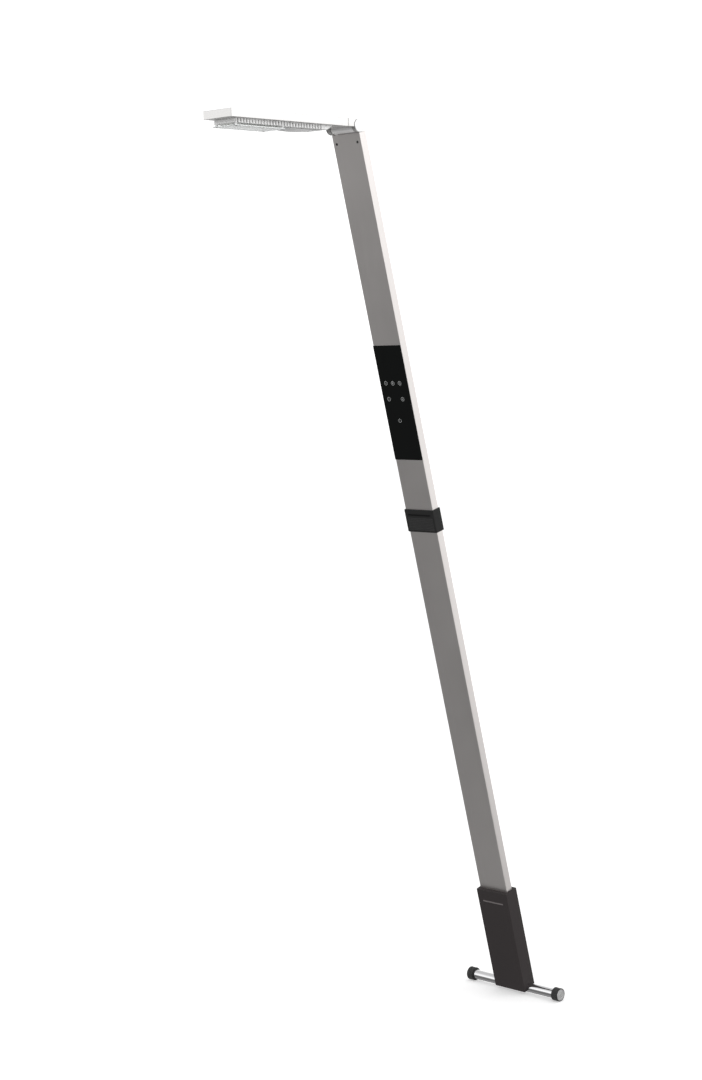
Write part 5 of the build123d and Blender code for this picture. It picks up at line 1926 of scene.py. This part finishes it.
class LAMP_OT_studio(Operator):
    """Sets up the pale floor, the soft light and the camera"""

    bl_idname = of_class("studio")
    bl_label = "Studio"

    def execute(self, context):
        studio = context.scene.lamp_studio
        self.floor(studio)
        self.sky(context.scene, studio)
        self.key(context.scene, studio)
        self.camera(context.scene, studio)
        context.scene.view_settings.view_transform = "Standard"
        return {"FINISHED"}

    def floor(self, studio):
        """Large pale floor, just under the lamp's lowest point."""
        mesh = turned([(40.0, -0.05), (40.0, 0.0), (10.0, 0.0), (2.0, 0.0), (0.5, 0.0)], 96)
        data = bpy.data.meshes.new("studio_floor")
        mesh.to_mesh(data)
        mesh.free()
        floor = bpy.data.objects.new("studio_floor", data)
        bpy.context.scene.collection.objects.link(floor)
        finish = Finish("studio_floor", Emission_Strength=studio.floor_lift)
        mottle = finish.noise(3, detail=3.0)
        finish.set(Base_Color=finish.mix(mottle, scaled(studio.floor, 0.99), studio.floor))
        finish.set(Emission_Color=(*studio.floor, 1))
        finish.set(Roughness=0.8 + mottle * 0.1)
        data.materials.append(finish.material)
        # the lamp's metal sees the studio's darker ground instead of the bright floor
        floor.visible_diffuse = False
        floor.visible_glossy = False

    def sky(self, scene, studio):
        """Bright wall, softer ceiling, a dark band below it and a glow from straight below."""
        world = bpy.data.worlds.new("studio_world")
        world.use_nodes = True
        scene.world = world
        nodes = Nodes(world.node_tree)
        background = world.node_tree.nodes["Background"]
        direction = nodes.add("ShaderNodeTexCoord", output=0)
        right = nodes.add("ShaderNodeSeparateXYZ", output=0, Vector=direction)
        back = nodes.add("ShaderNodeSeparateXYZ", output=1, Vector=direction)
        height = nodes.add("ShaderNodeSeparateXYZ", output=2, Vector=direction)
        shifted = height + (right + back) * (studio.lean * math.sqrt(0.5))

        def fade(value, start, end, first, last):
            return nodes.add(
                "ShaderNodeMapRange", {"interpolation_type": "SMOOTHSTEP"}, Value=value, From_Min=start,
                From_Max=end, To_Min=first, To_Max=last
            )

        lower = fade(height, -0.58, -0.90, studio.ground, studio.glow)
        upper = fade(height, 0.2, 0.8, studio.wall, studio.ceiling)
        share = fade(shifted, -0.27, -0.03, 0.0, 1.0)
        strength = lower + (upper - lower) * share
        world.node_tree.links.new(strength.socket, background.inputs["Strength"])
        background.inputs["Color"].default_value = (1, 1, 1, 1)

    def key(self, scene, studio):
        """One large soft light, high on the lamp's right."""
        data = bpy.data.lights.new("key_light", "AREA")
        data.shape = "SQUARE"
        data.size = studio.key_size
        data.energy = studio.key_power
        light = bpy.data.objects.new("key_light", data)
        scene.collection.objects.link(light)
        light.location = studio.key_place
        aim = Vector((0, 0, 0.7)) - light.location
        light.rotation_euler = aim.to_track_quat("-Z", "Y").to_euler()
        light.visible_camera = False

    def camera(self, scene, studio):
        """Camera at standing height, in front of the lamp and to its right."""
        data = bpy.data.cameras.new("camera")
        data.sensor_fit = "VERTICAL"
        data.sensor_height = 36.0
        data.lens = studio.camera_lens
        data.clip_end = 200.0
        camera = bpy.data.objects.new("camera", data)
        scene.collection.objects.link(camera)
        camera.location = studio.camera_place
        camera.rotation_euler = (math.pi / 2 - studio.camera_dip, 0, studio.camera_turn)
        scene.camera = camera


# ---- Panel and registration ----

PIECES = [
    LAMP_OT_mast, LAMP_OT_hinge, LAMP_OT_panel, LAMP_OT_collar, LAMP_OT_foot_shell, LAMP_OT_foot_bar,
    LAMP_OT_foot_inside, LAMP_OT_head_shell, LAMP_OT_heat_sink, LAMP_OT_light, LAMP_OT_studio,
]


class LAMP_PT_sidebar(Panel):
    """Lists the lamp's pieces and the studio"""

    bl_idname = "LAMP_PT_sidebar"
    bl_label = "Leaning Floor Lamp"
    bl_space_type = "VIEW_3D"
    bl_region_type = "UI"
    bl_category = "Lamp"

    def draw(self, context):
        for operator in PIECES:
            self.layout.operator(operator.bl_idname)
        for settings in (context.scene.lamp_sizes, context.scene.lamp_colours, context.scene.lamp_studio):
            box = self.layout.box()
            for name in settings.__annotations__:
                box.prop(settings, name)


CLASSES = [LampSizes, LampColours, LampStudio, *PIECES, LAMP_PT_sidebar]


def register():
    """Registers the classes and the settings kept on the scene."""
    for cls in CLASSES:
        bpy.utils.register_class(cls)
    bpy.types.Scene.lamp_sizes = PointerProperty(type=LampSizes)
    bpy.types.Scene.lamp_colours = PointerProperty(type=LampColours)
    bpy.types.Scene.lamp_studio = PointerProperty(type=LampStudio)


def unregister():
    """Removes the settings and the classes."""
    del bpy.types.Scene.lamp_studio
    del bpy.types.Scene.lamp_colours
    del bpy.types.Scene.lamp_sizes
    for cls in reversed(CLASSES):
        bpy.utils.unregister_class(cls)


def main():
    """Builds the whole lamp and its studio."""
    register()
    make_finishes(bpy.context.scene.lamp_colours)
    for operator in PIECES:
        group, name = operator.bl_idname.split(".")
        getattr(getattr(bpy.ops, group), name)()
    bpy.context.view_layer.update()


if __name__ == "__main__":
    main()
